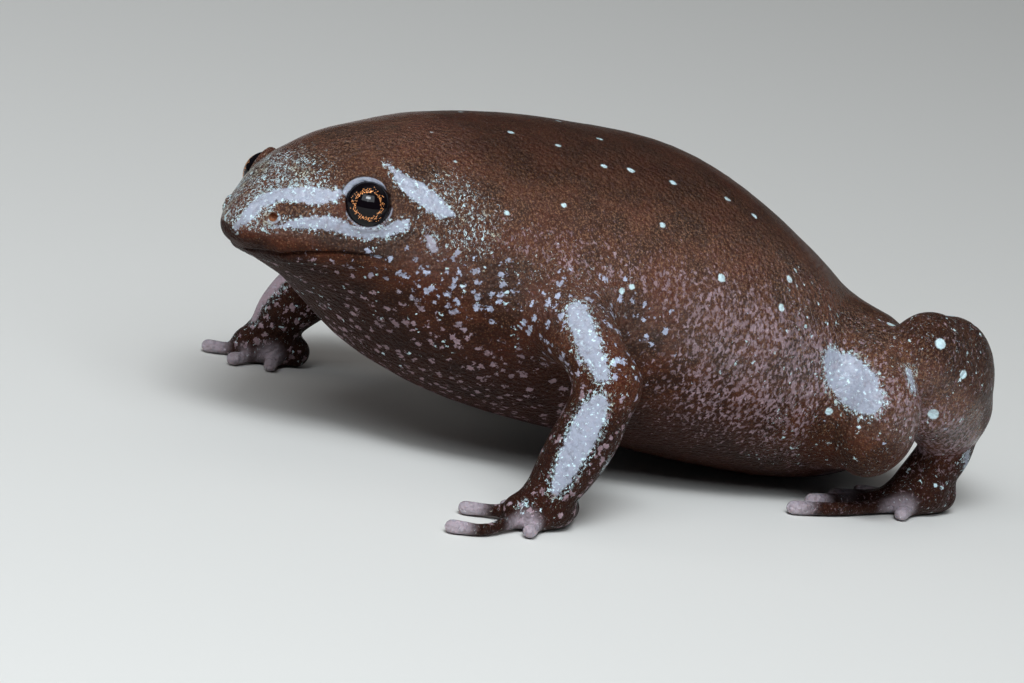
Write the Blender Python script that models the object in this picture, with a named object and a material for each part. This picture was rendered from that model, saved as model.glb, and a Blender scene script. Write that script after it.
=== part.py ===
"""Rio elongated frog: a still, life-size model of a stout, short-legged forest frog.

The frog sits with its head raised and turned a little to its left. Its head faces -Y, its left
side is +X, and it rests on its belly, palms and feet at z = 0. Sizes below are in millimetres.
Body and limbs are balls swelled along a path, parted by thin gaps into the pieces that a person
would name. The origin ends up under the middle of the frog's box.
"""
import math

import bmesh
import bpy
import numpy as np
from mathutils import Matrix, Vector

MM = 0.001
GAP = 0.3
BLOCK_SIZE = 60.0

# Body from snout to vent: along (y), middle (x, z), half width, rise above and drop below the middle.
BODY = (
    (-14.94, 1.47, 8.35, 0.00, 0.00, 0.00),
    (-14.75, 1.44, 8.35, 0.70, 0.60, 0.52),
    (-14.18, 1.34, 8.40, 1.40, 1.12, 0.92),
    (-13.00, 1.14, 8.60, 2.45, 2.10, 1.70),
    (-11.00, 0.80, 8.60, 3.65, 3.06, 2.70),
    (-8.00, 0.40, 8.20, 5.00, 4.05, 4.70),
    (-5.00, 0.10, 7.70, 6.20, 4.75, 5.45),
    (0.00, 0.00, 6.80, 7.70, 5.50, 5.60),
    (5.00, 0.00, 5.60, 8.00, 5.90, 5.30),
    (9.00, 0.00, 4.30, 7.20, 4.90, 4.42),
    (12.00, 0.00, 3.40, 5.40, 3.50, 3.20),
    (14.00, 0.00, 3.10, 3.20, 2.10, 1.70),
    (15.00, 0.00, 3.00, 0.00, 0.00, 0.00),
)
SQUARENESS = 2.1
HEAD_ROWS = 8
BODY_SIDES, BODY_RINGS = 36, 34
HEAD_SIDES, HEAD_RINGS = 44, 30
# Inside the body, where the head's own form closes before it is cut off at the nape.
HEAD_END = (1.20, 0.00, 6.60, 0.00, 0.00, 0.00)

# The cut behind the head: its y at the top of the nape and at the throat, and their heights.
NAPE_Y, NAPE_Z = -7.3, 12.2
THROAT_Y, THROAT_Z = -8.9, 3.3

# Head pose and what it carries.
HEAD_TURN = math.radians(9.5)
HEAD_ROLL = math.radians(6.2)
HEAD_TURNS_FULLY_Y, HEAD_TURNS_FROM_Y = -10.5, -6.0
EYE_MIDDLE = Vector((0.85, -11.35, 9.61))
EYE_APART = 3.00
EYE_RADIUS = 0.88
EYE_GAP = 0.2
EYE_LOOK = (0.90, 0.34, 0.28)
EYE_MOUND_RADIUS = 1.22
EYE_MOUND_SINK = 0.62
LID_RISE = 0.16
LID_RADIUS = 1.00
LID_THICK = 0.20
NOSTRIL_Y = -14.12
NOSTRIL_LIFT = math.radians(22.0)
NOSTRIL_RADIUS = 0.24
NOSTRIL_RIM = 0.12
NOSTRIL_DEPTH = 0.35
NOSTRIL_AIM_BACK = 1.2

# The mouth line in the head's upright plane: y from under the snout to the corner, and z.
MOUTH = (
    (-15.60, 7.30), (-14.45, 7.36), (-13.90, 7.45), (-13.20, 7.68),
    (-12.10, 7.86), (-10.80, 7.86), (-9.70, 7.64),
)
JAW_BACK = ((-9.20, 7.10), (-8.30, 6.10), (-7.00, 4.00), (-7.00, 0.00))
JAW_MIDDLE_X = 0.9
JAW_HALF_WIDTH = 7.0
LIP_THICK = 0.19
LIP_RISE = 0.30
LIP_SINK = 0.08
LIP_CORNER = -9.90
UPPER_LIP_FRONT, LOWER_LIP_FRONT = -14.20, -13.35
LIP_POINTS = 11

# Limbs: rows of x, y, z, half width and half height. The right arm has its own pose.
UPPER_ARM_LEFT = (
    (4.9, -3.6, 7.2, 1.7), (7.0, -3.5, 6.9, 1.45), (8.4, -3.4, 6.4, 1.12), (9.3, -2.9, 5.4, 1.05)
)
FOREARM_LEFT = (
    (9.3, -2.9, 5.2, 1.0), (9.4, -3.4, 3.7, 1.18), (9.4, -4.05, 2.2, 1.10), (9.4, -4.6, 1.2, 0.88)
)
PALM_LEFT = ((8.7, -3.5, 0.55, 0.66), (9.2, -4.3, 0.62, 0.98), (9.5, -5.4, 0.60, 0.86))
FINGERS_LEFT = (
    ((8.9, -4.6, 0.45), (8.4, -4.9, 0.34), (7.9, -5.3, 0.31)),
    ((9.1, -5.2, 0.50), (8.7, -6.2, 0.42), (8.3, -7.2, 0.33)),
    ((9.6, -5.5, 0.55), (10.3, -6.7, 0.42), (10.7, -7.8, 0.30), (10.5, -8.9, 0.33)),
    ((9.8, -5.0, 0.50), (10.3, -5.4, 0.36), (10.8, -5.9, 0.34)),
)
UPPER_ARM_RIGHT = (
    (-4.8, -3.8, 7.0, 1.7), (-7.0, -4.1, 6.3, 1.45), (-8.4, -4.2, 5.4, 1.15), (-9.1, -4.2, 4.5, 1.08)
)
FOREARM_RIGHT = (
    (-9.1, -4.2, 4.3, 1.0), (-9.5, -5.1, 3.1, 1.20), (-9.8, -5.9, 2.0, 1.05), (-9.9, -6.3, 1.2, 0.82)
)
PALM_RIGHT = ((-9.6, -5.3, 0.55, 0.66), (-9.9, -6.0, 0.62, 0.98), (-10.2, -6.7, 0.60, 0.86))
FINGERS_RIGHT = (
    ((-9.6, -5.9, 0.45), (-9.1, -6.3, 0.34), (-8.6, -6.7, 0.31)),
    ((-9.8, -6.4, 0.50), (-9.5, -7.2, 0.36), (-9.2, -8.0, 0.33)),
    ((-10.2, -6.5, 0.50), (-10.5, -7.4, 0.36), (-10.8, -8.3, 0.33)),
    ((-10.4, -6.1, 0.50), (-10.9, -6.5, 0.36), (-11.4, -6.8, 0.33)),
)
THIGH = (
    (2.4, 11.2, 4.6, 2.30, 2.30), (5.2, 10.3, 4.7, 2.35, 2.75),
    (7.2, 9.7, 4.3, 2.00, 2.65), (7.9, 9.6, 4.1, 1.60, 2.30),
)
SHANK = ((7.5, 11.5, 6.5, 1.5, 1.7), (6.9, 12.7, 5.6, 1.85, 2.40), (6.2, 13.9, 4.2, 1.60, 1.9))
TARSUS = ((5.9, 14.5, 3.5, 1.00), (5.9, 14.3, 2.3, 1.00), (5.9, 13.6, 1.2, 0.95))
SOLE = ((5.8, 14.4, 0.70, 0.80), (5.9, 13.7, 0.72, 1.0), (6.0, 13.0, 0.62, 0.95))
TOES = (
    ((5.4, 13.4, 0.52), (4.9, 12.6, 0.36), (4.5, 11.9, 0.32)),
    ((5.6, 13.0, 0.52), (5.2, 11.6, 0.36), (5.1, 10.4, 0.32)),
    ((5.8, 12.8, 0.52), (5.7, 10.9, 0.36), (5.9, 8.9, 0.32)),
    ((6.1, 12.8, 0.52), (6.6, 11.0, 0.38), (6.9, 9.3, 0.34), (6.9, 7.5, 0.34)),
    ((6.2, 13.2, 0.52), (6.7, 12.7, 0.38), (7.2, 12.1, 0.34)),
)
RIGHT_LEG_SHIFT, RIGHT_LEG_DROP = -1.0, 0.5
BELOW_FLOOR = 0.06
WELD_REACH = 0.002
FINGER_RADII = (0.44, 0.31, 0.35)
TOE_RADII = (0.48, 0.33, 0.36)

# How finely the round forms are faceted.
LIMB_SIDES, LIMB_RINGS = 16, 13
DIGIT_SIDES, DIGIT_RINGS = 8, 10
EYE_SIDES, EYE_RINGS = 16, 10
LID_AROUND, LID_ACROSS = 24, 8
MOUND_SIDES, MOUND_RINGS = 20, 12
NOSTRIL_AROUND, NOSTRIL_ACROSS = 12, 6
PIT_SIDES, PIT_RINGS = 10, 6
PROFILE_STEPS = 600
HEADING_STEP = 0.01
SETTLING_STEPS = 6

SKIN_BROWN = (0.115, 0.050, 0.030)
SKIN_DARK = (0.085, 0.036, 0.026)
SKIN_PALE = (0.260, 0.160, 0.140)
EYE_BLACK = (0.006, 0.004, 0.003)
SKIN_ROUGHNESS, EYE_ROUGHNESS = 0.45, 0.08

frog = bpy.data.collections.new("rio_elongated_frog")
cutters = bpy.data.collections.new("cutters")


def clear_scene():
    for obj in list(bpy.data.objects):
        bpy.data.objects.remove(obj)
    for collection in (frog, cutters):
        bpy.context.scene.collection.children.link(collection)


def finish_of(obj, colour, roughness):
    """Gives the object a material of its own."""
    material = bpy.data.materials.new(obj.name)
    material.use_nodes = True
    shader = material.node_tree.nodes["Principled BSDF"]
    shader.inputs["Base Color"].default_value = (*colour, 1.0)
    shader.inputs["Roughness"].default_value = roughness
    shader.inputs["Metallic"].default_value = 0.0
    obj.data.materials.clear()
    obj.data.materials.append(material)


def smooth_rows(keys, rows, at):
    """Reads rows at the places in at, on a smooth curve through every row."""
    slopes = np.gradient(rows, keys, axis=0)
    first = np.clip(np.searchsorted(keys, at, side="right") - 1, 0, len(keys) - 2)
    span = (keys[first + 1] - keys[first])[:, None]
    t = (at - keys[first])[:, None] / span
    return (
        (2 * t**3 - 3 * t**2 + 1) * rows[first]
        + (t**3 - 2 * t**2 + t) * span * slopes[first]
        + (3 * t**2 - 2 * t**3) * rows[first + 1]
        + (t**3 - t**2) * span * slopes[first + 1]
    )


def new_object(name, bm, collection=frog):
    mesh = bpy.data.meshes.new(name)
    bm.to_mesh(mesh)
    bm.free()
    mesh.shade_smooth()
    obj = bpy.data.objects.new(name, mesh)
    collection.objects.link(obj)
    return obj


def swelled_ball(name, sides, rings, place, collection=frog):
    """A ball whose vertices move to place(share of the way along, angle round)."""
    bm = bmesh.new()
    bmesh.ops.create_uvsphere(bm, u_segments=sides, v_segments=rings, radius=1.0)
    for vertex in bm.verts:
        along = math.acos(max(-1.0, min(1.0, -vertex.co.z))) / math.pi
        around = math.atan2(vertex.co.y, vertex.co.x)
        vertex.co = place(along, around)
    bmesh.ops.triangulate(bm, faces=bm.faces)
    bmesh.ops.recalc_face_normals(bm, faces=bm.faces)
    return new_object(name, bm, collection)


def body_keys(rows):
    steps = np.hypot(np.diff(rows[:, 0]), np.diff(rows[:, 4] + rows[:, 5]) / 2)
    return np.concatenate(([0], np.cumsum(steps)))


def body_at(y):
    """The body's section at y: middle x, middle z, half width, rise and drop."""
    rows = np.array(BODY)
    keys = body_keys(rows)
    fine = np.linspace(0, keys[-1], PROFILE_STEPS)
    sections = smooth_rows(keys, rows, fine)
    return [float(np.interp(y, sections[:, 0], sections[:, column])) for column in range(1, 6)]


def head_lean(y, aside):
    """How far back and up the head's turn and roll carry a point that lies aside of its middle."""
    share = (HEAD_TURNS_FROM_Y - y) / (HEAD_TURNS_FROM_Y - HEAD_TURNS_FULLY_Y)
    share = min(max(share, 0.0), 1.0)
    eased = share * share * (3 - 2 * share)
    return eased * aside * math.tan(HEAD_TURN), eased * aside * math.tan(HEAD_ROLL)


def body_point(section, angle, grow=0.0):
    y, x, z, width, rise, drop = section
    turn = math.cos(angle), math.sin(angle)
    power = 2 / SQUARENESS
    out = math.copysign(abs(turn[0]) ** power, turn[0])
    up = math.copysign(abs(turn[1]) ** power, turn[1])
    height = rise if turn[1] > 0 else drop
    grow_here = grow if width > 0 else 0.0
    aside = (width + grow_here) * out
    back, lift = head_lean(y, aside)
    return Vector((x + aside, y + back, z + (height + grow_here) * up + lift)) * MM


def body_loft(name, rows, sides, rings, grow=0.0, collection=frog):
    rows = np.array(rows)
    keys = body_keys(rows)
    sections = smooth_rows(keys, rows, np.linspace(0, keys[-1], rings + 1))
    sections[:, 3:] = np.maximum(sections[:, 3:], 0)
    sections[0, 0] -= grow
    sections[-1, 0] += grow

    def place(along, around):
        return body_point(sections[round(along * rings)], around, grow)

    return swelled_ball(name, sides, rings, place, collection)


def limb_loft(name, rows, sides, rings, grow=0.0, flat_axis=Vector((0, 0, 1)), collection=frog):
    """A round-ended limb along rows of x, y, z, half width and, where it differs, half height."""
    rows = np.array([row if len(row) == 5 else (*row, row[3]) for row in rows], float)
    keys = np.concatenate(([0], np.cumsum(np.linalg.norm(np.diff(rows[:, :3], axis=0), axis=1))))
    root, tip = rows[0, 3], rows[-1, 3]
    length = keys[-1]

    def place(along, around):
        far = (1 - math.cos(math.pi * along)) / 2 * (length + root + tip) - root
        inside = np.array([min(max(far, 0), length)])
        here = smooth_rows(keys, rows, inside)[0]
        near = smooth_rows(keys, rows, np.clip(inside + HEADING_STEP, 0, length))[0]
        back = smooth_rows(keys, rows, np.clip(inside - HEADING_STEP, 0, length))[0]
        way = Vector(near[:3] - back[:3]).normalized()
        beyond = far - inside[0]
        end = root if far < 0 else tip
        shrink = math.sqrt(max(0.0, 1 - (beyond / end) ** 2))
        side = flat_axis.cross(way).normalized()
        top = way.cross(side)
        spread = shrink * (here[3] + grow), shrink * (here[4] + grow)
        middle = Vector(here[:3]) + way * beyond * (1 + grow / end)
        return (middle + side * spread[0] * math.cos(around) + top * spread[1] * math.sin(around)) * MM

    return swelled_ball(name, sides, rings, place, collection)


def block(name, middle, turn=Matrix.Identity(4)):
    """A big cutter box."""
    bm = bmesh.new()
    bmesh.ops.create_cube(bm, size=BLOCK_SIZE * MM)
    bm.transform(Matrix.Translation(Vector(middle) * MM) @ turn)
    return new_object(name, bm, cutters)


def boolean(obj, operation, other):
    """Applies one Boolean of obj with an object or with a whole collection."""
    modifier = obj.modifiers.new("boolean", "BOOLEAN")
    modifier.operation = operation
    if isinstance(other, bpy.types.Collection):
        modifier.operand_type = "COLLECTION"
        modifier.collection = other
    else:
        modifier.object = other
    bpy.context.view_layer.update()
    graph = bpy.context.evaluated_depsgraph_get()
    mesh = bpy.data.meshes.new_from_object(obj.evaluated_get(graph))
    obj.modifiers.clear()
    old = obj.data
    obj.data = mesh
    bpy.data.meshes.remove(old)


def volume_of(shell):
    """Six times the volume inside a closed surface of triangles, given as its vertices."""
    total = 0.0
    for face in {face for vertex in shell for face in vertex.link_faces}:
        a, b, c = (vertex.co for vertex in face.verts)
        total += a.dot(b.cross(c))
    return total


def keep_largest(obj):
    """Keeps only the largest closed surface of the object."""
    bm = bmesh.new()
    bm.from_mesh(obj.data)
    bmesh.ops.triangulate(bm, faces=bm.faces)
    left = set(bm.verts)
    shells = []
    while left:
        shell = set()
        reach = [left.pop()]
        while reach:
            vertex = reach.pop()
            shell.add(vertex)
            found = {edge.other_vert(vertex) for edge in vertex.link_edges} & left
            left -= found
            reach.extend(found)
        shells.append(shell)
    shells.sort(key=volume_of)
    bmesh.ops.delete(bm, geom=[vertex for shell in shells[:-1] for vertex in shell], context="VERTS")
    bm.to_mesh(obj.data)
    bm.free()


def fuse(obj, pieces):
    """Joins pieces to obj by one union and removes them."""
    group = bpy.data.collections.new("joined")
    bpy.context.scene.collection.children.link(group)
    for piece in pieces:
        for owner in list(piece.users_collection):
            owner.objects.unlink(piece)
        group.objects.link(piece)
    boolean(obj, "UNION", group)
    for piece in pieces:
        bpy.data.objects.remove(piece)
    bpy.data.collections.remove(group)


def carve(obj, cutter, operation="DIFFERENCE"):
    """Cuts the cutter from the object, or keeps only what is inside it, and removes the cutter."""
    boolean(obj, operation, cutter)
    bpy.data.objects.remove(cutter)


def head_axes():
    """The head's own left, forward and up directions."""
    left = Vector((
        math.cos(HEAD_TURN) * math.cos(HEAD_ROLL),
        math.sin(HEAD_TURN) * math.cos(HEAD_ROLL),
        math.sin(HEAD_ROLL),
    ))
    forward = Vector((math.sin(HEAD_TURN), -math.cos(HEAD_TURN), 0))
    return left, forward, forward.cross(left).normalized()


def facing(direction):
    """A turn that carries +Z to the direction."""
    return direction.to_track_quat("Z", "Y").to_matrix().to_4x4()


def ring(name, middle, direction, radius, thickness, around, across):
    bpy.ops.mesh.primitive_torus_add(
        major_segments=around, minor_segments=across, major_radius=radius * MM, minor_radius=thickness * MM
    )
    obj = bpy.context.active_object
    obj.name = name
    obj.data.transform(Matrix.Translation(middle * MM) @ facing(direction))
    return obj


def ball(name, middle, radius, sides, rings, collection=cutters):
    bm = bmesh.new()
    bmesh.ops.create_uvsphere(bm, u_segments=sides, v_segments=rings, radius=radius * MM)
    bmesh.ops.translate(bm, verts=bm.verts, vec=middle * MM)
    return new_object(name, bm, collection)


def tube(name, points, radius):
    """A closed tube through the points, as a mesh with welded caps."""
    curve = bpy.data.curves.new(name, "CURVE")
    curve.dimensions = "3D"
    curve.bevel_depth = radius * MM
    curve.bevel_resolution = 1
    curve.use_fill_caps = True
    spline = curve.splines.new("POLY")
    spline.points.add(len(points) - 1)
    for point, place in zip(spline.points, points):
        point.co = (*(Vector(place) * MM), 1)
    obj = bpy.data.objects.new(name, curve)
    cutters.objects.link(obj)
    bpy.context.view_layer.update()
    mesh = bpy.data.meshes.new_from_object(obj.evaluated_get(bpy.context.evaluated_depsgraph_get()))
    bpy.data.objects.remove(obj)
    bm = bmesh.new()
    bm.from_mesh(mesh)
    bpy.data.meshes.remove(mesh)
    bmesh.ops.remove_doubles(bm, verts=bm.verts, dist=WELD_REACH * MM)
    bmesh.ops.recalc_face_normals(bm, faces=bm.faces)
    return new_object(name, bm)


def mouth_height(y):
    return float(np.interp(y, [point[0] for point in MOUTH], [point[1] for point in MOUTH]))


def skin_beside_mouth(y, side, lift, sink):
    """The point of the skin at the mouth line's height plus lift, on one side, sunk by sink."""
    x_middle, z_middle, width, rise, drop = body_at(y)
    aside = side * width
    for _ in range(SETTLING_STEPS):
        back, up = head_lean(y, aside)
        from_plane = x_middle + aside - JAW_MIDDLE_X
        along = y + back - from_plane * math.tan(HEAD_TURN)
        z = mouth_height(along) + lift + from_plane * math.tan(HEAD_ROLL)
        height = rise if z > z_middle + up else drop
        share = min(abs(z - z_middle - up) / height, 1.0)
        aside = side * (width - sink) * (1 - share**SQUARENESS) ** (1 / SQUARENESS)
    return Vector((x_middle + aside, y + back, z))


def lip(name, lift, front):
    """A soft roll along the mouth, from one corner round the snout to the other."""
    left = [skin_beside_mouth(y, 1, lift, LIP_SINK) for y in np.linspace(LIP_CORNER, front, LIP_POINTS)]
    right = [skin_beside_mouth(y, -1, lift, LIP_SINK) for y in np.linspace(front, LIP_CORNER, LIP_POINTS)]
    return tube(name, left + right, LIP_THICK)


def jaw_block(name, inset):
    """The room that the lower jaw fills, shrunk by inset all round its cut faces."""
    line = [Vector(point) for point in (*MOUTH, *JAW_BACK)]
    outline = []
    for index, point in enumerate(line):
        before = line[max(index - 1, 0)]
        after = line[min(index + 1, len(line) - 1)]
        way = (after - before).normalized()
        outline.append(point + Vector((way.y, -way.x)) * inset)
    outline.append(Vector((MOUTH[0][0], JAW_BACK[-1][1])))
    curve = bpy.data.curves.new(name, "CURVE")
    curve.dimensions = "2D"
    curve.fill_mode = "BOTH"
    curve.extrude = JAW_HALF_WIDTH * MM
    spline = curve.splines.new("POLY")
    spline.points.add(len(outline) - 1)
    spline.use_cyclic_u = True
    for point, place in zip(spline.points, outline):
        point.co = (place.x * MM, place.y * MM, 0, 1)
    obj = bpy.data.objects.new(name, curve)
    cutters.objects.link(obj)
    bpy.context.view_layer.update()
    mesh = bpy.data.meshes.new_from_object(obj.evaluated_get(bpy.context.evaluated_depsgraph_get()))
    bpy.data.objects.remove(obj)
    bm = bmesh.new()
    bm.from_mesh(mesh)
    bpy.data.meshes.remove(mesh)
    bmesh.ops.remove_doubles(bm, verts=bm.verts, dist=WELD_REACH * MM)
    # The flat outline lies in x and y: stand it up so that they become y and z.
    bm.transform(Matrix(((0, 0, 1, 0), (1, 0, 0, 0), (0, 1, 0, 0), (0, 0, 0, 1))))
    pivot = Matrix.Translation(Vector((JAW_MIDDLE_X, 0, 0)) * MM)
    lean = Matrix.Identity(4)
    lean[1][0], lean[2][0] = math.tan(HEAD_TURN), math.tan(HEAD_ROLL)
    bm.transform(pivot @ lean)
    bmesh.ops.recalc_face_normals(bm, faces=bm.faces)
    if bm.calc_volume(signed=True) < 0:
        bmesh.ops.reverse_faces(bm, faces=bm.faces)
    return new_object(name, bm, cutters)


def neck_block(name, ahead):
    """A big box on one side of the cut behind the head."""
    slope = Vector((0, NAPE_Y - THROAT_Y, NAPE_Z - THROAT_Z)).normalized()
    forward = Vector((0, -slope.z, slope.y))
    middle = Vector((0, (NAPE_Y + THROAT_Y) / 2, (NAPE_Z + THROAT_Z) / 2))
    way = forward if ahead else -forward
    far = middle + way * (GAP / 2 + BLOCK_SIZE / 2)
    tilt = Matrix.Rotation(-math.atan2(slope.y, slope.z), 4, "X")
    return block(name, far, tilt)


def build_head():
    left, forward, up = head_axes()
    eyes = {}
    for name, side in (("eye_left", 1), ("eye_right", -1)):
        middle = EYE_MIDDLE + left * side * EYE_APART
        look = (left * side * EYE_LOOK[0] + forward * EYE_LOOK[1] + up * EYE_LOOK[2]).normalized()
        eyes[name] = (middle, look)

    head_rows = (*BODY[:HEAD_ROWS], HEAD_END)
    head = body_loft("head", head_rows, HEAD_SIDES, HEAD_RINGS)
    jaw = body_loft("lower_jaw", head_rows, HEAD_SIDES, HEAD_RINGS)
    forms = [
        ring(f"{name}_lid", middle + look * LID_RISE, look, LID_RADIUS, LID_THICK, LID_AROUND, LID_ACROSS)
        for name, (middle, look) in eyes.items()
    ]
    forms += [
        ball(f"{name}_mound", middle - look * EYE_MOUND_SINK, EYE_MOUND_RADIUS, MOUND_SIDES, MOUND_RINGS)
        for name, (middle, look) in eyes.items()
    ]
    nostrils = []
    for angle in (NOSTRIL_LIFT, math.pi - NOSTRIL_LIFT):
        x_middle, z_middle, *size = body_at(NOSTRIL_Y)
        spot = body_point((NOSTRIL_Y, x_middle, z_middle, *size), angle) / MM
        out = (spot - Vector((x_middle, NOSTRIL_Y + NOSTRIL_AIM_BACK, z_middle))).normalized()
        nostrils.append((spot, out))
        forms.append(ring("nostril", spot, out, NOSTRIL_RADIUS, NOSTRIL_RIM, NOSTRIL_AROUND, NOSTRIL_ACROSS))
    forms.append(lip("upper_lip", LIP_RISE, UPPER_LIP_FRONT))
    fuse(head, forms)
    fuse(jaw, [lip("lower_lip", -LIP_RISE, LOWER_LIP_FRONT)])
    for spot, out in nostrils:
        middle = spot - out * NOSTRIL_DEPTH / 3
        carve(head, ball("nostril_pit", middle, NOSTRIL_DEPTH / 2, PIT_SIDES, PIT_RINGS))
    for name, (middle, look) in eyes.items():
        carve(head, ball("socket", middle, EYE_RADIUS + EYE_GAP, EYE_SIDES, EYE_RINGS))
        eye = ball(name, middle, EYE_RADIUS, EYE_SIDES, EYE_RINGS, frog)
        finish_of(eye, EYE_BLACK, EYE_ROUGHNESS)

    carve(head, jaw_block("mouth_room", -GAP / 2))
    carve(jaw, jaw_block("jaw_room", GAP / 2), "INTERSECT")
    for obj, colour in ((head, SKIN_BROWN), (jaw, SKIN_DARK)):
        carve(obj, neck_block("ahead_of_nape", True), "INTERSECT")
        keep_largest(obj)
        finish_of(obj, colour, SKIN_ROUGHNESS)


def floor_block():
    return block("floor", (0, 0, -BLOCK_SIZE / 2))


def build_torso():
    torso = body_loft("torso", BODY, BODY_SIDES, BODY_RINGS)
    carve(torso, neck_block("behind_nape", False), "INTERSECT")
    carve(torso, floor_block())
    keep_largest(torso)
    finish_of(torso, SKIN_BROWN, SKIN_ROUGHNESS)


def clear_of(obj, neighbours):
    """Cuts the grown shapes of the neighbours from the object, which leaves the gap between them."""
    for grown in neighbours:
        carve(obj, grown())


def grown_torso():
    return body_loft("grown_torso", BODY, BODY_SIDES, BODY_RINGS, GAP, cutters)


def grown_limb(rows, axis):
    return lambda: limb_loft("grown_limb", rows, LIMB_SIDES, LIMB_RINGS, GAP, axis, cutters)


def limb(name, rows, neighbours, axis):
    obj = limb_loft(name, rows, LIMB_SIDES, LIMB_RINGS, 0.0, axis)
    clear_of(obj, neighbours)
    keep_largest(obj)
    finish_of(obj, SKIN_BROWN, SKIN_ROUGHNESS)


def digit_rows(points, radii):
    """Rows of a finger or toe: thick at the root, slim between, with a round tip."""
    root, slim, tip = radii
    last = len(points) - 1
    sizes = [root if i == 0 else tip if i == last else slim for i in range(len(points))]
    return [(*point, size) for point, size in zip(points, sizes)]


def paw(name, base, digits, radii, neighbours, ankle=()):
    """A palm or sole with its digits, and an ankle where it has one, flat where it rests."""
    obj = limb_loft(name, flat_base(base), LIMB_SIDES, LIMB_RINGS)
    pieces = [limb_loft("digit", digit_rows(points, radii), DIGIT_SIDES, DIGIT_RINGS) for points in digits]
    if ankle:
        pieces.append(limb_loft("ankle", ankle, LIMB_SIDES, LIMB_RINGS, 0.0, Vector((1, 0, 0))))
    fuse(obj, pieces)
    clear_of(obj, neighbours)
    carve(obj, floor_block())
    keep_largest(obj)
    finish_of(obj, SKIN_PALE, SKIN_ROUGHNESS)


def flat_base(rows):
    """A palm or sole is wide and low: it reaches just below the floor."""
    return [(x, y, z, width, z + BELOW_FLOOR) for x, y, z, width in rows]


def build_arm(side, upper, fore, palm, fingers):
    across = Vector((0, 1, 0))
    grown_upper = grown_limb(upper, across)
    grown_fore = grown_limb(fore, across)
    limb(f"upper_arm_{side}", upper, [grown_torso], across)
    limb(f"forearm_{side}", fore, [grown_torso, grown_upper], across)
    paw(f"hand_{side}", palm, fingers, FINGER_RADII, [grown_fore])


def mirrored(rows, drop=0.0):
    """The same rows for the right leg, which is drawn up further along the body."""
    return [(-x, y + RIGHT_LEG_SHIFT, z - drop, *radii) for x, y, z, *radii in rows]


def build_leg(side, thigh, shank, tarsus, sole, toes):
    upright = Vector((0, 0, 1))
    grown_thigh = grown_limb(thigh, upright)
    grown_shank = grown_limb(shank, upright)
    limb(f"thigh_{side}", thigh, [grown_torso], upright)
    limb(f"shank_{side}", shank, [grown_torso, grown_thigh], upright)
    paw(f"foot_{side}", sole, toes, TOE_RADII, [grown_torso, grown_thigh, grown_shank], tarsus)


def settle_origin():
    """Moves everything so that the origin is under the middle of the frog's box."""
    corners = [vertex.co for obj in frog.objects for vertex in obj.data.vertices]
    low = [min(corner[axis] for corner in corners) for axis in range(3)]
    high = [max(corner[axis] for corner in corners) for axis in range(3)]
    shift = Vector((-(low[0] + high[0]) / 2, -(low[1] + high[1]) / 2, -low[2]))
    for obj in frog.objects:
        obj.data.transform(Matrix.Translation(shift))


clear_scene()
build_torso()
build_head()
build_arm("left", UPPER_ARM_LEFT, FOREARM_LEFT, PALM_LEFT, FINGERS_LEFT)
build_arm("right", UPPER_ARM_RIGHT, FOREARM_RIGHT, PALM_RIGHT, FINGERS_RIGHT)
build_leg("left", THIGH, SHANK, TARSUS, SOLE, TOES)
build_leg(
    "right",
    mirrored(THIGH, RIGHT_LEG_DROP),
    mirrored(SHANK, RIGHT_LEG_DROP),
    mirrored(TARSUS),
    mirrored(SOLE),
    [mirrored(toe) for toe in TOES],
)
settle_origin()
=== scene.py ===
"""A life-size museum model of a rio elongated frog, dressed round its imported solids.

Lengths are millimetres in the frog's own frame, head to -Y and its left side to +X, until a piece
is cast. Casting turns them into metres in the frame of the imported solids.
"""
import math

import bpy
import numpy as np
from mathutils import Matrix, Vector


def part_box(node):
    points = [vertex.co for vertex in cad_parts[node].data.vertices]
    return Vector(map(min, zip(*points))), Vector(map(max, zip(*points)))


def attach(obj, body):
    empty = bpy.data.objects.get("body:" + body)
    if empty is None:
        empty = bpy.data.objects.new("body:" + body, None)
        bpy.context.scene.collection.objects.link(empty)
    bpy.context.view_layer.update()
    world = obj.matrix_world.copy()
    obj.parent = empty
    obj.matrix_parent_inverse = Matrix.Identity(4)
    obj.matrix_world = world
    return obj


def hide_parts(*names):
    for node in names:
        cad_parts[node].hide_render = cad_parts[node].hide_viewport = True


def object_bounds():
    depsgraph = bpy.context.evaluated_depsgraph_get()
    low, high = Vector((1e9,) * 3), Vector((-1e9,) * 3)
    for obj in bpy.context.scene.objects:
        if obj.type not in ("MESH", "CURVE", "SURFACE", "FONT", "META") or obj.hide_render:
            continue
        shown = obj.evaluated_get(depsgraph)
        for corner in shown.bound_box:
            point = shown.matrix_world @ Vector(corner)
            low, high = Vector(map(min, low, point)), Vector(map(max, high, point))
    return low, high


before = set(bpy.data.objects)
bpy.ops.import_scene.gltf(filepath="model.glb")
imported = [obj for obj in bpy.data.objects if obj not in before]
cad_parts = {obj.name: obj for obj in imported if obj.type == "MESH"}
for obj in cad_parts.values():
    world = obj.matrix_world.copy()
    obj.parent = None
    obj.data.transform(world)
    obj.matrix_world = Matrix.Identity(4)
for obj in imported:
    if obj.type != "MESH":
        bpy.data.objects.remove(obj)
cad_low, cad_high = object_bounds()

import openvdb
from mathutils import Matrix, Vector

# Trunk and head. The real frog is one swelling mass of skin over ribs and a blunt skull, with no
# neck. It is lofted from snout to vent and kept as clay: the distance to the surface at each point
# of a fine grid, into which every later form melts without a seam.
MM = 0.001
VOXEL = 0.08
CLAY_MARGIN = 0.6
CORE_SIDES, CORE_RINGS = 120, 160
SQUARENESS = 2.1

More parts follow.
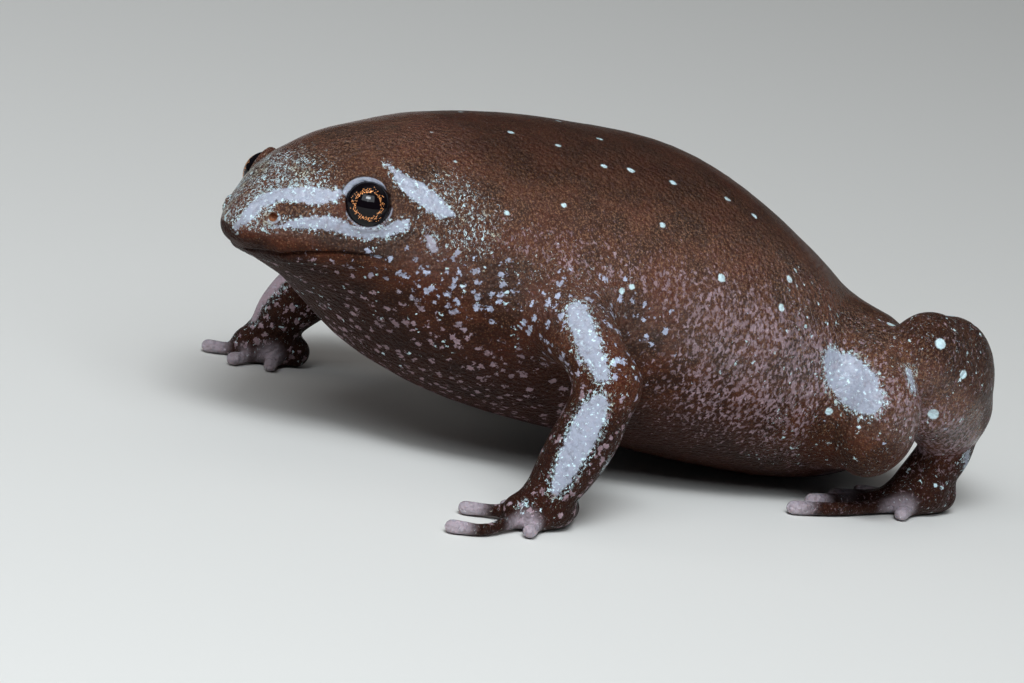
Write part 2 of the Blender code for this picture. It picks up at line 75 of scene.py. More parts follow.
# From snout to vent: along (y), middle (x, z), half width, rise above and drop below the middle.
BODY = np.array((
    (-14.94, 1.47, 8.35, 0, 0, 0),
    (-14.75, 1.44, 8.35, 0.7, 0.6, 0.52),
    (-14.18, 1.34, 8.4, 1.4, 1.12, 0.92),
    (-13, 1.14, 8.6, 2.45, 2.1, 1.7),
    (-11, 0.8, 8.6, 3.65, 3.06, 2.7),
    (-8, 0.4, 8.2, 5, 4.05, 4.7),
    (-5, 0.1, 7.7, 6.2, 4.75, 5.45),
    (0, 0, 6.8, 7.7, 5.5, 5.6),
    (5, 0, 5.6, 8, 5.9, 5.3),
    (9, 0, 4.3, 7.2, 4.9, 4.42),
    (12, 0, 3.4, 5.4, 3.5, 3.2),
    (14, 0, 3.1, 3.2, 2.1, 1.7),
    (15, 0, 3, 0, 0, 0),
))

# The head is turned a little to the frog's left and rolled. Its eyes give its place in the solids.
HEAD_TURN, HEAD_ROLL = math.radians(9.5), math.radians(6.2)
HEAD_TURNS_FULLY_Y, HEAD_TURNS_FROM_Y = -10.5, -6.0
EYE_MIDDLE = np.array((0.85, -11.35, 9.61))
EYE_APART = 3.00
TURN_SLOPE, ROLL_SLOPE = math.tan(HEAD_TURN), math.tan(HEAD_ROLL)
HEAD_LEFT = np.array((
    math.cos(HEAD_TURN) * math.cos(HEAD_ROLL),
    math.sin(HEAD_TURN) * math.cos(HEAD_ROLL),
    math.sin(HEAD_ROLL),
))
HEAD_FORWARD = np.array((math.sin(HEAD_TURN), -math.cos(HEAD_TURN), 0.0))
HEAD_UP = np.cross(HEAD_FORWARD, HEAD_LEFT)
EYES = {"eye_left": EYE_MIDDLE + HEAD_LEFT * EYE_APART, "eye_right": EYE_MIDDLE - HEAD_LEFT * EYE_APART}
eye_box = np.array(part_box("eye_left"))
SETTLED = eye_box.mean(axis=0) / MM - EYES["eye_left"]

clay_first = np.floor((np.array(cad_low) / MM - SETTLED - CLAY_MARGIN) / VOXEL).astype(int)
clay_last = np.ceil((np.array(cad_high) / MM - SETTLED + CLAY_MARGIN) / VOXEL).astype(int)
clay = np.full(clay_last - clay_first + 1, CLAY_MARGIN, np.float32)


def smooth_rows(keys, rows, at):
    """Reads rows at the places in at, on a smooth curve through every row."""
    slopes = np.gradient(rows, keys, axis=0)
    first = np.clip(np.searchsorted(keys, at, side="right") - 1, 0, len(keys) - 2)
    span = (keys[first + 1] - keys[first])[:, None]
    t = (at - keys[first])[:, None] / span
    return (
        (2 * t**3 - 3 * t**2 + 1) * rows[first]
        + (t**3 - 2 * t**2 + t) * span * slopes[first]
        + (3 * t**2 - 2 * t**3) * rows[first + 1]
        + (t**3 - t**2) * span * slopes[first + 1]
    )


def round_power(value, power):
    return np.sign(value) * np.abs(value) ** power


def body_sections(count):
    steps = np.hypot(np.diff(BODY[:, 0]), np.diff(BODY[:, 4] + BODY[:, 5]) / 2)
    keys = np.concatenate(([0], np.cumsum(steps)))
    sections = smooth_rows(keys, BODY, np.linspace(0, keys[-1], count))
    sections[:, 3:] = np.maximum(sections[:, 3:], 0)
    return sections


def head_lean(y, aside):
    """How far back and up the head's turn and roll carry a point that lies aside of its middle."""
    share = np.clip((HEAD_TURNS_FROM_Y - y) / (HEAD_TURNS_FROM_Y - HEAD_TURNS_FULLY_Y), 0, 1)
    eased = share * share * (3 - 2 * share)
    return eased * aside * TURN_SLOPE, eased * aside * ROLL_SLOPE


def core_rings():
    y, x, z, width, rise, drop = (column[:, None] for column in body_sections(CORE_RINGS).T)
    turn = np.linspace(0, 2 * math.pi, CORE_SIDES, endpoint=False)
    out = round_power(np.cos(turn), 2 / SQUARENESS)
    up = round_power(np.sin(turn), 2 / SQUARENESS)
    height = np.where(up > 0, rise, drop)
    back, lift = head_lean(y, width * out)
    return np.stack([x + width * out, y + back, z + height * up + lift], -1)


def distances(rings, reach):
    """Distances to the closed form through the rings: its first grid point and a block of values."""
    count, sides = rings.shape[:2]
    points = rings.reshape(-1, 3)
    start = np.arange(count - 1)[:, None] * sides
    side = np.arange(sides)[None]
    beside = (side + 1) % sides
    quads = np.stack([start + side, start + beside, start + sides + beside, start + sides + side], -1)
    first = np.floor((points.min(0) - reach) / VOXEL).astype(int)
    last = np.ceil((points.max(0) + reach) / VOXEL).astype(int)
    field = openvdb.FloatGrid.createLevelSetFromPolygons(
        points.astype(np.float32),
        quads=quads.reshape(-1, 4).astype(np.uint32),
        transform=openvdb.createLinearTransform(VOXEL),
        halfWidth=reach / VOXEL,
    )
    block = np.empty(last - first + 1, np.float32)
    field.copyToArray(block, ijk=tuple(int(value) for value in first))
    return first, block


def shared(first, block):
    """The part of the clay under a block, and the part of the block over the clay."""
    low = np.maximum(first, clay_first)
    high = np.minimum(first + block.shape, clay_first + clay.shape)
    over = tuple(slice(*pair) for pair in zip(low - clay_first, high - clay_first))
    own = tuple(slice(*pair) for pair in zip(low - first, high - first))
    return clay[over], block[own]


def melt(form, softness):
    """Adds a form to the clay, with a fillet about as wide as softness."""
    here, block = shared(*form)
    fillet = np.maximum(softness - np.abs(here - block), 0)
    np.minimum(here, block, out=here)
    here -= fillet * fillet / (4 * softness)


def press(form, softness):
    """Takes a form out of the clay, with rounded edges."""
    here, block = shared(*form)
    rounding = np.maximum(softness - np.abs(here + block), 0)
    np.maximum(here, -block, out=here)
    here += rounding * rounding / (4 * softness)


def soften(times):
    """Rubs the whole of the clay smooth."""
    for _ in range(times):
        for axis in range(3):
            line = np.moveaxis(clay, axis, 0)
            line[1:-1] = (line[:-2] + 2 * line[1:-1] + line[2:]) / 4


CORE_REACH = 1.3
melt(distances(core_rings(), CORE_REACH), VOXEL)


# Arms. Short, thick and bent outward at the elbow, with a broad forearm that stands nearly upright
# and four stubby fingers. Each length is a round-ended form along a few stations, melted into the
# clay with a wide fillet at the shoulder and narrow ones at the fingers.
LIMB_SIDES, LIMB_RINGS = 32, 40
ACROSS, UPRIGHT = np.array((0.0, 1.0, 0.0)), np.array((0.0, 0.0, 1.0))
SHOULDER_FILLET, ELBOW_FILLET, WRIST_FILLET, DIGIT_FILLET = 1.1, 0.5, 0.45, 0.22
BELOW_FLOOR = 0.06
FINGER_RADII, TOE_RADII = (0.40, 0.235, 0.275), (0.44, 0.27, 0.29)
DIGIT_SETTLES = 0.80

# Stations are x, y, z, half width and, where it differs, half height.
ARMS = {
    "left": {
        "upper": (
            (4.9, -3.6, 7.2, 1.7), (7, -3.5, 6.9, 1.45), (8.4, -3.4, 6.4, 1.12), (9.3, -2.9, 5.4, 1.05),
        ),
        "fore": (
            (9.3, -2.9, 5.2, 1), (9.4, -3.4, 3.7, 1.18), (9.4, -4.05, 2.2, 1.1), (9.4, -4.6, 1.2, 0.88),
        ),
        "palm": ((8.7, -3.5, 0.55, 0.66), (9.2, -4.3, 0.62, 0.98), (9.5, -5.4, 0.6, 0.86)),
        "fingers": (
            ((8.9, -4.6, 0.45), (8.4, -4.9, 0.34), (7.9, -5.3, 0.31)),
            ((9.1, -5.2, 0.5), (8.7, -6.2, 0.42), (8.3, -7.2, 0.33)),
            ((9.6, -5.5, 0.55), (10.3, -6.7, 0.42), (10.7, -7.8, 0.3), (10.5, -8.9, 0.33)),
            ((9.8, -5, 0.5), (10.3, -5.4, 0.36), (10.8, -5.9, 0.34)),
        ),
    },
    "right": {
        "upper": (
            (-4.8, -3.8, 7, 1.7), (-7, -4.1, 6.3, 1.45), (-8.4, -4.2, 5.4, 1.15), (-9.1, -4.2, 4.5, 1.08),
        ),
        "fore": (
            (-9.1, -4.2, 4.3, 1), (-9.5, -5.1, 3.1, 1.2), (-9.8, -5.9, 2, 1.05), (-9.9, -6.3, 1.2, 0.82),
        ),
        "palm": ((-9.6, -5.3, 0.55, 0.66), (-9.9, -6, 0.62, 0.98), (-10.2, -6.7, 0.6, 0.86)),
        "fingers": (
            ((-9.6, -5.9, 0.45), (-9.1, -6.3, 0.34), (-8.6, -6.7, 0.31)),
            ((-9.8, -6.4, 0.5), (-9.5, -7.2, 0.36), (-9.2, -8, 0.33)),
            ((-10.2, -6.5, 0.5), (-10.5, -7.4, 0.36), (-10.8, -8.3, 0.33)),
            ((-10.4, -6.1, 0.5), (-10.9, -6.5, 0.36), (-11.4, -6.8, 0.33)),
        ),
    },
}


def unit(vectors):
    return vectors / np.linalg.norm(vectors, axis=-1, keepdims=True)


def limb_rings(rows, flat_axis=UPRIGHT):
    """Rings of a round-ended limb along its stations."""
    rows = np.array([row if len(row) == 5 else (*row, row[3]) for row in rows])
    keys = np.concatenate(([0], np.cumsum(np.linalg.norm(np.diff(rows[:, :3], axis=0), axis=1))))
    root, tip, length, step = rows[0, 3], rows[-1, 3], keys[-1], 0.01
    share = (1 - np.cos(np.linspace(0, math.pi, LIMB_RINGS))) / 2
    far = share * (length + root + tip) - root
    inside = np.clip(far, 0, length)
    here = smooth_rows(keys, rows, inside)
    ahead = smooth_rows(keys, rows, np.clip(inside + step, 0, length))
    behind = smooth_rows(keys, rows, np.clip(inside - step, 0, length))
    way = unit(ahead[:, :3] - behind[:, :3])
    beyond = far - inside
    end = np.where(far < 0, root, tip)
    shrink = np.sqrt(np.maximum(0, 1 - (beyond / end) ** 2))
    side = unit(np.cross(flat_axis, way))
    top = np.cross(way, side)
    middle = here[:, :3] + way * beyond[:, None]
    turn = np.linspace(0, 2 * math.pi, LIMB_SIDES, endpoint=False)
    wide = side[:, None] * (shrink * here[:, 3])[:, None, None] * np.cos(turn)[:, None]
    tall = top[:, None] * (shrink * here[:, 4])[:, None, None] * np.sin(turn)[:, None]
    return middle[:, None] + wide + tall


def add_limb(rows, softness, flat_axis=UPRIGHT):
    melt(distances(limb_rings(rows, flat_axis), softness + 3 * VOXEL), softness)


def add_paw(base, digits, radii):
    """A palm or sole, wide and low, with its digits, each thick at the root and round at the tip."""
    add_limb([(x, y, z, width, z + BELOW_FLOOR) for x, y, z, width in base], WRIST_FILLET)
    root, slim, tip = radii
    for points in digits:
        sizes = (root, *[slim] * (len(points) - 2), tip)
        rows = [(x, y, z * DIGIT_SETTLES, size) for (x, y, z), size in zip(points, sizes)]
        add_limb(rows, DIGIT_FILLET)


for arm in ARMS.values():
    add_limb(arm["upper"], SHOULDER_FILLET, ACROSS)
    add_limb(arm["fore"], ELBOW_FILLET, ACROSS)
    add_paw(arm["palm"], arm["fingers"], FINGER_RADII)


# Hind legs. The frog sits on them: the thigh points sideways, the calf is folded tight behind it,
# and the foot lies forward along the flank. The fold between thigh and calf stays a sharp crease,
# so its fillet is narrow. The right leg is the same one, drawn up a little further.
HIP_FILLET, FOLD_FILLET, ANKLE_FILLET = 0.9, 0.22, 0.4
THIGH = (
    (2.4, 11.2, 4.6, 2.3, 2.3), (5.2, 10.3, 4.7, 2.35, 2.75), (7.2, 9.7, 4.3, 2, 2.65),
    (7.9, 9.6, 4.1, 1.6, 2.3),
)
SHANK = ((7.5, 11.5, 6.5, 1.5, 1.7), (6.9, 12.7, 5.6, 1.85, 2.40), (6.2, 13.9, 4.2, 1.60, 1.9))
TARSUS = ((5.9, 14.5, 3.5, 1.00), (5.9, 14.3, 2.3, 1.00), (5.9, 13.6, 1.2, 0.95))
SOLE = ((5.8, 14.4, 0.70, 0.80), (5.9, 13.7, 0.72, 1.0), (6.0, 13.0, 0.62, 0.95))
TOES = (
    ((5.4, 13.4, 0.52), (4.9, 12.6, 0.36), (4.5, 11.9, 0.32)),
    ((5.6, 13, 0.52), (5.2, 11.6, 0.36), (5.1, 10.4, 0.32)),
    ((5.8, 12.8, 0.52), (5.7, 10.9, 0.36), (5.9, 8.9, 0.32)),
    ((6.1, 12.8, 0.52), (6.6, 11, 0.38), (6.9, 9.3, 0.34), (6.9, 7.5, 0.34)),
    ((6.2, 13.2, 0.52), (6.7, 12.7, 0.38), (7.2, 12.1, 0.34)),
)
RIGHT_LEG_SHIFT, RIGHT_LEG_DROP = -1.0, 0.5


def mirrored(rows, drop=0.0):
    return [(-x, y + RIGHT_LEG_SHIFT, z - drop, *radii) for x, y, z, *radii in rows]


def add_leg(thigh, shank, tarsus, sole, toes):
    add_limb(thigh, HIP_FILLET)
    add_limb(shank, FOLD_FILLET)
    add_limb(tarsus, ANKLE_FILLET, np.array((1.0, 0.0, 0.0)))
    add_paw(sole, toes, TOE_RADII)


add_leg(THIGH, SHANK, TARSUS, SOLE, TOES)
add_leg(
    mirrored(THIGH, RIGHT_LEG_DROP), mirrored(SHANK, RIGHT_LEG_DROP), mirrored(TARSUS),
    mirrored(SOLE), [mirrored(toe) for toe in TOES],
)
soften(2)


# Face. Each eye sits in a low mound, held by a smooth lid ring that is thicker above. The mouth is
# a thin closed line under the snout with soft lips, and each nostril is a pit with a raised rim.
# These are thin, so they go on after the clay has been rubbed smooth.
EYE_RADIUS = 0.88
MOUND_LOOK, EYE_LOOK, IRIS_LOOK = (0.90, 0.34, 0.28), (0.86, 0.47, 0.30), (0.82, 0.55, 0.17)
MOUND_RADIUS, MOUND_SINK, MOUND_FILLET = 1.06, 0.52, 0.45
LID_RING, LID_FORWARD, LID_FILLET = 0.89, 0.25, 0.12
UPPER_LID, LOWER_LID, LID_FULLNESS = 0.11, 0.08, 0.7
SOCKET_INSIDE, SOCKET_EDGE = 0.07, 0.05
OPENING_RADIUS, OPENING_WIDENED, OPENING_FROM = 0.755, 0.070, 0.25
LID_POINTS = 32
WIDE_REACH, NEAR_REACH, CLOSE_REACH = 1.0, 0.5, 0.4


def strand(points, radii, reach):
    """Distances to a round strand along points, worked out on the grid round it."""
    points = np.asarray(points, float)
    radii = np.broadcast_to(np.asarray(radii, float), len(points))
    pad = reach + radii.max()
    first = np.floor((points.min(0) - pad) / VOXEL).astype(int)
    last = np.ceil((points.max(0) + pad) / VOXEL).astype(int)
    axes = [np.arange(low, high + 1) * VOXEL for low, high in zip(first, last)]
    spots = np.stack(np.meshgrid(*axes, indexing="ij"), -1)
    block = np.full(spots.shape[:3], pad, np.float32)
    for a, b, r_a, r_b in zip(points[:-1], points[1:], radii[:-1], radii[1:]):
        way = b - a
        t = np.clip(((spots - a) @ way) / (way @ way), 0, 1)
        gap = np.linalg.norm(spots - a - t[..., None] * way, axis=-1)
        np.minimum(block, gap - (r_a + (r_b - r_a) * t), out=block)
    return first, block


def ball_form(middle, radius, reach):
    middle = np.asarray(middle)
    return strand([middle, middle + (0, 0, 1e-3)], radius, reach)


def lid_frame(side, aim=EYE_LOOK):
    """The way an eye looks, and the two directions across it: ahead and up."""
    look = unit(HEAD_LEFT * side * aim[0] + HEAD_FORWARD * aim[1] + HEAD_UP * aim[2])
    ahead = unit(HEAD_FORWARD - look * (HEAD_FORWARD @ look))
    up = np.cross(ahead, look) * side
    return look, ahead, up


for side, middle in zip((1, -1), EYES.values()):
    look, ahead, up = lid_frame(side)
    bedded, _, _ = lid_frame(side, MOUND_LOOK)
    melt(ball_form(middle - bedded * MOUND_SINK, MOUND_RADIUS, WIDE_REACH), MOUND_FILLET)
    turn = np.linspace(0, 2 * math.pi, LID_POINTS + 1)
    rise = np.sin(turn)
    thick = LOWER_LID + (UPPER_LID - LOWER_LID) * np.clip(rise, 0, 1) ** LID_FULLNESS
    ring = (LID_RING + thick - LOWER_LID)[:, None]
    path = middle + look * LID_FORWARD + ring * (np.cos(turn)[:, None] * ahead + rise[:, None] * up)
    melt(strand(path, thick, NEAR_REACH), LID_FILLET)
    press(ball_form(middle, EYE_RADIUS - SOCKET_INSIDE, NEAR_REACH), SOCKET_EDGE)
    for shift in (-OPENING_WIDENED, OPENING_WIDENED):
        start = middle + look * OPENING_FROM + ahead * shift
        press(strand([start, start + look], OPENING_RADIUS, CLOSE_REACH), SOCKET_EDGE)


# The mouth line in the head's upright plane: y from under the snout to the corner, and z.
MOUTH = np.array((
    (-15.6, 7.3), (-14.45, 7.36), (-13.9, 7.45), (-13.2, 7.68),
    (-12.1, 7.86), (-10.8, 7.86), (-9.7, 7.64),
))
JAW_MIDDLE_X = 0.9
MOUTH_POINTS = 26
SETTLING_STEPS = 6
LINE_RADIUS, LINE_OUTSIDE, LINE_EDGE = 0.09, 0.045, 0.05
TAPER_POINTS, TAPER_LEAST = 8, 0.15
LIP_RADIUS, LIP_SINK, LIP_RISE, LIP_FILLET = 0.22, 0.22, 0.24, 0.30
MOUTH_CORNER = -10.30
MOUTH_FRONT, UPPER_LIP_FRONT, LOWER_LIP_FRONT = -13.98, -13.60, -13.30
PROFILE_STATIONS = 600
profile = body_sections(PROFILE_STATIONS)


def body_at(y):
    """The body's section at y: middle x, middle z, half width, rise and drop."""
    return [np.interp(y, profile[:, 0], profile[:, column]) for column in range(1, 6)]


def beside_mouth(y, side, lift, sink):
    """The point of the skin at the mouth line's height plus lift, on one side, sunk by sink."""
    x_middle, z_middle, width, rise, drop = body_at(y)
    aside = side * width
    for _ in range(SETTLING_STEPS):
        back, up = head_lean(y, aside)
        from_plane = x_middle + aside - JAW_MIDDLE_X
        z = np.interp(y + back - from_plane * TURN_SLOPE, *MOUTH.T) + lift
        z += from_plane * ROLL_SLOPE
        share = min(abs(z - z_middle - up) / (rise if z > z_middle + up else drop), 1.0)
        aside = side * (width - sink) * (1 - share**SQUARENESS) ** (1 / SQUARENESS)
    return x_middle + aside, y + back, z


def round_the_snout(lift, sink, front, corner=MOUTH_CORNER):
    back = np.linspace(corner, front, MOUTH_POINTS)
    left = [beside_mouth(y, 1, lift, sink) for y in back]
    return left + [beside_mouth(y, -1, lift, sink) for y in back[::-1]]


for rise, front in ((LIP_RISE, UPPER_LIP_FRONT), (-LIP_RISE, LOWER_LIP_FRONT)):
    melt(strand(round_the_snout(rise, LIP_SINK, front), LIP_RADIUS, NEAR_REACH), LIP_FILLET)
taper = np.clip(np.linspace(0, 2 * MOUTH_POINTS, 2 * MOUTH_POINTS) / TAPER_POINTS, TAPER_LEAST, 1)
line_radii = LINE_RADIUS * np.minimum(taper, taper[::-1])
press(strand(round_the_snout(0.0, -LINE_OUTSIDE, MOUTH_FRONT), line_radii, CLOSE_REACH), LINE_EDGE)

NOSTRIL_Y, NOSTRIL_AIM_BACK = -14.12, 1.2
NOSTRIL_LIFT = math.radians(22.0)
NOSTRIL_RIM, NOSTRIL_RIM_THICK, NOSTRIL_PIT, NOSTRIL_DEPTH = 0.23, 0.065, 0.15, 0.16
NOSTRIL_FILLET, NOSTRIL_EDGE, NOSTRIL_MOUTH = 0.12, 0.05, 0.3


def nostril(angle):
    x_middle, z_middle, width, rise, drop = body_at(NOSTRIL_Y)
    aside = width * round_power(math.cos(angle), 2 / SQUARENESS)
    back, lift = head_lean(NOSTRIL_Y, aside)
    height = rise * round_power(math.sin(angle), 2 / SQUARENESS)
    spot = np.array((x_middle + aside, NOSTRIL_Y + back, z_middle + height + lift))
    return spot, unit(spot - (x_middle, NOSTRIL_Y + NOSTRIL_AIM_BACK, z_middle))


nostrils = [nostril(NOSTRIL_LIFT), nostril(math.pi - NOSTRIL_LIFT)]
for spot, out in nostrils:
    across = unit(np.cross(out, UPRIGHT))
    over = np.cross(across, out)
    turn = np.linspace(0, 2 * math.pi, LID_POINTS)[:, None]
    rim = spot + NOSTRIL_RIM * (np.cos(turn) * across + np.sin(turn) * over)
    melt(strand(rim, NOSTRIL_RIM_THICK, CLOSE_REACH), NOSTRIL_FILLET)
    ends = [spot + out * NOSTRIL_MOUTH, spot - out * NOSTRIL_DEPTH]
    press(strand(ends, NOSTRIL_PIT, CLOSE_REACH), NOSTRIL_EDGE)


# Skin. The real one is a single thin wet hide. The clay is cut flat where the belly, palms and soles rest,
# and its surface is cast as one mesh, kept dense on the face and hands and thinned where the body is plain.
FLOOR_EDGE = 0.12
SKIN_TRIANGLES = 192_000
heights = (np.arange(clay.shape[2]) + clay_first[2]) * VOXEL
rounding = np.maximum(FLOOR_EDGE - np.abs(clay + heights), 0)
np.maximum(clay, -heights, out=clay)
clay += rounding * rounding / (4 * FLOOR_EDGE)
band = 3 * VOXEL
cast = openvdb.FloatGrid(band)
cast.copyFromArray(np.clip(clay, -band, band), ijk=tuple(int(value) for value in clay_first))
cast.transform = openvdb.createLinearTransform(VOXEL)
skin_points, skin_quads = cast.convertToQuads(isovalue=0.0)


def mesh_of(name, points, quads):
    """A mesh in metres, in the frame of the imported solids, from points in the frog's own frame."""
    mesh = bpy.data.meshes.new(name)
    mesh.vertices.add(len(points))
    mesh.vertices.foreach_set("co", ((points + SETTLED) * MM).astype(np.float32).ravel())
    mesh.loops.add(quads.size)
    mesh.loops.foreach_set("vertex_index", quads.astype(np.int32).ravel())
    mesh.polygons.add(len(quads))
    mesh.polygons.foreach_set("loop_start", np.arange(0, quads.size, 4, dtype=np.int32))
    mesh.update(calc_edges=True)
    mesh.validate()
    mesh.shade_smooth()
    return mesh


def placed_in_scene(name, data):
    obj = bpy.data.objects.new(name, data)
    bpy.context.scene.collection.objects.link(obj)
    return obj


def settle(obj):
    """Applies the object's modifiers, which leaves a plain mesh."""
    graph = bpy.context.evaluated_depsgraph_get()
    made = bpy.data.meshes.new_from_object(obj.evaluated_get(graph))
    obj.modifiers.clear()
    obj.data = made
    return obj


def own_points(obj):
    """The vertices in the frog's own frame, in millimetres."""
    co = np.empty(len(obj.data.vertices) * 3, np.float32)
    obj.data.vertices.foreach_get("co", co)
    return co.reshape(-1, 3).astype(float) / MM - SETTLED


def fade(value, low, high):
    """0 where value is under low, 1 where it is over high, smooth between."""
    t = np.clip((value - low) / (high - low), 0, 1)
    return t * t * (3 - 2 * t)


def nearness(points, places, near, far):
    """1 within near of any of the places, 0 beyond far."""
    gap = np.min([np.linalg.norm(points - place, axis=1) for place in places], axis=0)
    return 1 - fade(gap, near, far)


skin = placed_in_scene("frog_skin", mesh_of("frog_skin", skin_points, skin_quads))
places = own_points(skin)
FACE_WEIGHT, PAW_WEIGHT, WEIGHT_LEVELS = 0.85, 0.45, 10
keep = np.maximum.reduce([
    nearness(places, [*EYES.values(), *(spot for spot, _ in nostrils)], 1.2, 3.0),
    FACE_WEIGHT * (1 - fade(places[:, 1], -9.6, -7.5)),
    PAW_WEIGHT * fade(np.abs(places[:, 0]), 7.6, 8.4) * (1 - fade(places[:, 1], -1.0, 1.0)),
])
group = skin.vertex_groups.new(name="kept")
for level in range(1, WEIGHT_LEVELS + 1):
    chosen = np.flatnonzero(np.round(keep * WEIGHT_LEVELS) == level)
    group.add([int(index) for index in chosen], level / WEIGHT_LEVELS, "REPLACE")
thin = skin.modifiers.new("thin", "DECIMATE")
thin.ratio = SKIN_TRIANGLES / (2 * len(skin_quads))
thin.vertex_group = "kept"
thin.invert_vertex_group = True
thin.vertex_group_factor = 1.0
settle(skin)
skin.vertex_groups.clear()


# Grain of the skin. The real hide is set with low, close granules that catch the light. A node
# tree lifts the cast surface by a rounded cell pattern and a slower swell, and leaves calm the
# eyelids, the tips of the digits and whatever rests on the floor.
GRANULE_ACROSS, GRANULE_HEIGHT = 0.42, 0.016
SWELL_ACROSS, SWELL_HEIGHT = 1.9, 0.07
GRAIN_SEED, GRANULE_BLEND = 7.0, 0.6
TIP_CALM, FLOOR_CALM = 0.9, 0.5


def node_of(tree, kind, settings=(), **inputs):
    """The outputs of a new node with its settings, each input set to a value or linked to a socket."""
    made = tree.nodes.new(kind)
    for name, value in dict(settings).items():
        setattr(made, name, value)
    for name, value in inputs.items():
        socket = made.inputs[int(name[1:])] if name[1:].isdigit() else made.inputs[name.replace("_", " ")]
        if isinstance(value, bpy.types.NodeSocket):
            tree.links.new(value, socket)
        else:
            socket.default_value = value
    return made.outputs


def maths(tree, operation, first, second=0.0):
    return node_of(tree, "ShaderNodeMath", {"operation": operation}, i0=first, i1=second)[0]


def scaled(tree, vector, by):
    return node_of(tree, "ShaderNodeVectorMath", {"operation": "SCALE"}, i0=vector, Scale=by)[0]


def new_tree(name, inputs):
    """A tree that takes a mesh and the named inputs, and the sockets they come in by."""
    tree = bpy.data.node_groups.new(name, "GeometryNodeTree")
    tree.interface.new_socket("Geometry", in_out="INPUT", socket_type="NodeSocketGeometry")
    for title, value in inputs.items():
        kind = "NodeSocketInt" if isinstance(value, int) else "NodeSocketFloat"
        tree.interface.new_socket(title, in_out="INPUT", socket_type=kind).default_value = value
    tree.interface.new_socket("Geometry", in_out="OUTPUT", socket_type="NodeSocketGeometry")
    return tree, tree.nodes.new("NodeGroupInput").outputs


def end_tree(tree, geometry, material):
    """Ends a tree in one plain mesh that wears the material."""
    real = node_of(tree, "GeometryNodeRealizeInstances", Geometry=geometry)[0]
    dressed = node_of(tree, "GeometryNodeSetMaterial", Geometry=real, Material=material)[0]
    tree.links.new(dressed, tree.nodes.new("NodeGroupOutput").inputs[0])
    return tree


def own_value(tree, name):
    """The mesh's stored attribute of that name."""
    return node_of(tree, "GeometryNodeInputNamedAttribute", {"data_type": "FLOAT"}, Name=name)[0]


def grain_tree(material):
    tree, entry = new_tree("skin_grain", {
        "Granule Across": GRANULE_ACROSS, "Granule Height": GRANULE_HEIGHT,
        "Swell Across": SWELL_ACROSS, "Swell Height": SWELL_HEIGHT, "Seed": GRAIN_SEED,
    })
    place = scaled(tree, tree.nodes.new("GeometryNodeInputPosition").outputs[0], 1 / MM)
    cells = node_of(
        tree, "ShaderNodeTexVoronoi", {"voronoi_dimensions": "4D", "feature": "SMOOTH_F1"}, Vector=place,
        W=entry["Seed"], Scale=maths(tree, "DIVIDE", 1.0, entry["Granule Across"]), Smoothness=GRANULE_BLEND,
    )["Distance"]
    domes = maths(tree, "MULTIPLY", maths(tree, "SUBTRACT", 0.5, cells), entry["Granule Height"])
    swell = node_of(
        tree, "ShaderNodeTexNoise", {"noise_dimensions": "4D"}, Vector=place, W=entry["Seed"],
        Scale=maths(tree, "DIVIDE", 1.0, entry["Swell Across"]), Detail=2.0,
    )[0]
    waves = maths(tree, "MULTIPLY", maths(tree, "SUBTRACT", swell, 0.5), entry["Swell Height"])
    lift = maths(tree, "MULTIPLY", maths(tree, "ADD", domes, waves), own_value(tree, "loose"))
    normal = tree.nodes.new("GeometryNodeInputNormal").outputs[0]
    moved = node_of(
        tree, "GeometryNodeSetPosition", Geometry=entry["Geometry"],
        Offset=scaled(tree, normal, maths(tree, "MULTIPLY", lift, MM)),
    )[0]
    return end_tree(tree, moved, material)


def give(obj, name, values):
    """Stores one value for each vertex as a named attribute."""
    attribute = obj.data.attributes.get(name) or obj.data.attributes.new(name, "FLOAT", "POINT")
    attribute.data.foreach_set("value", np.asarray(values, np.float32))


def digit_tips():
    for arm in ARMS.values():
        yield from (np.array(finger[-1]) for finger in arm["fingers"])
    for toe in TOES:
        yield np.array(toe[-1])
        yield np.array(mirrored([toe[-1]])[0])


places = own_points(skin)
tip_share = nearness(places, list(digit_tips()), 0.30, 1.05)
lid_share = nearness(places, list(EYES.values()), 1.0, 1.45)
give(skin, "loose", (1 - TIP_CALM * tip_share) * (1 - lid_share) * fade(places[:, 2], 0.02, FLOOR_CALM))
skin_finish = bpy.data.materials.new("wet_brown_hide")
grain = skin.modifiers.new("grain", "NODES")
grain.node_group = grain_tree(skin_finish)
settle(skin)
skin.data.materials.clear()
skin.data.materials.append(skin_finish)


# Markings. White and gold pigment cells lie in and under the hide: broad lavender bands on the
# face, arms and thighs, bright flecks on the snout, blotches along the flanks and throat, and a
# few round white dots on the back. The two sides of the face match, as they do in life.

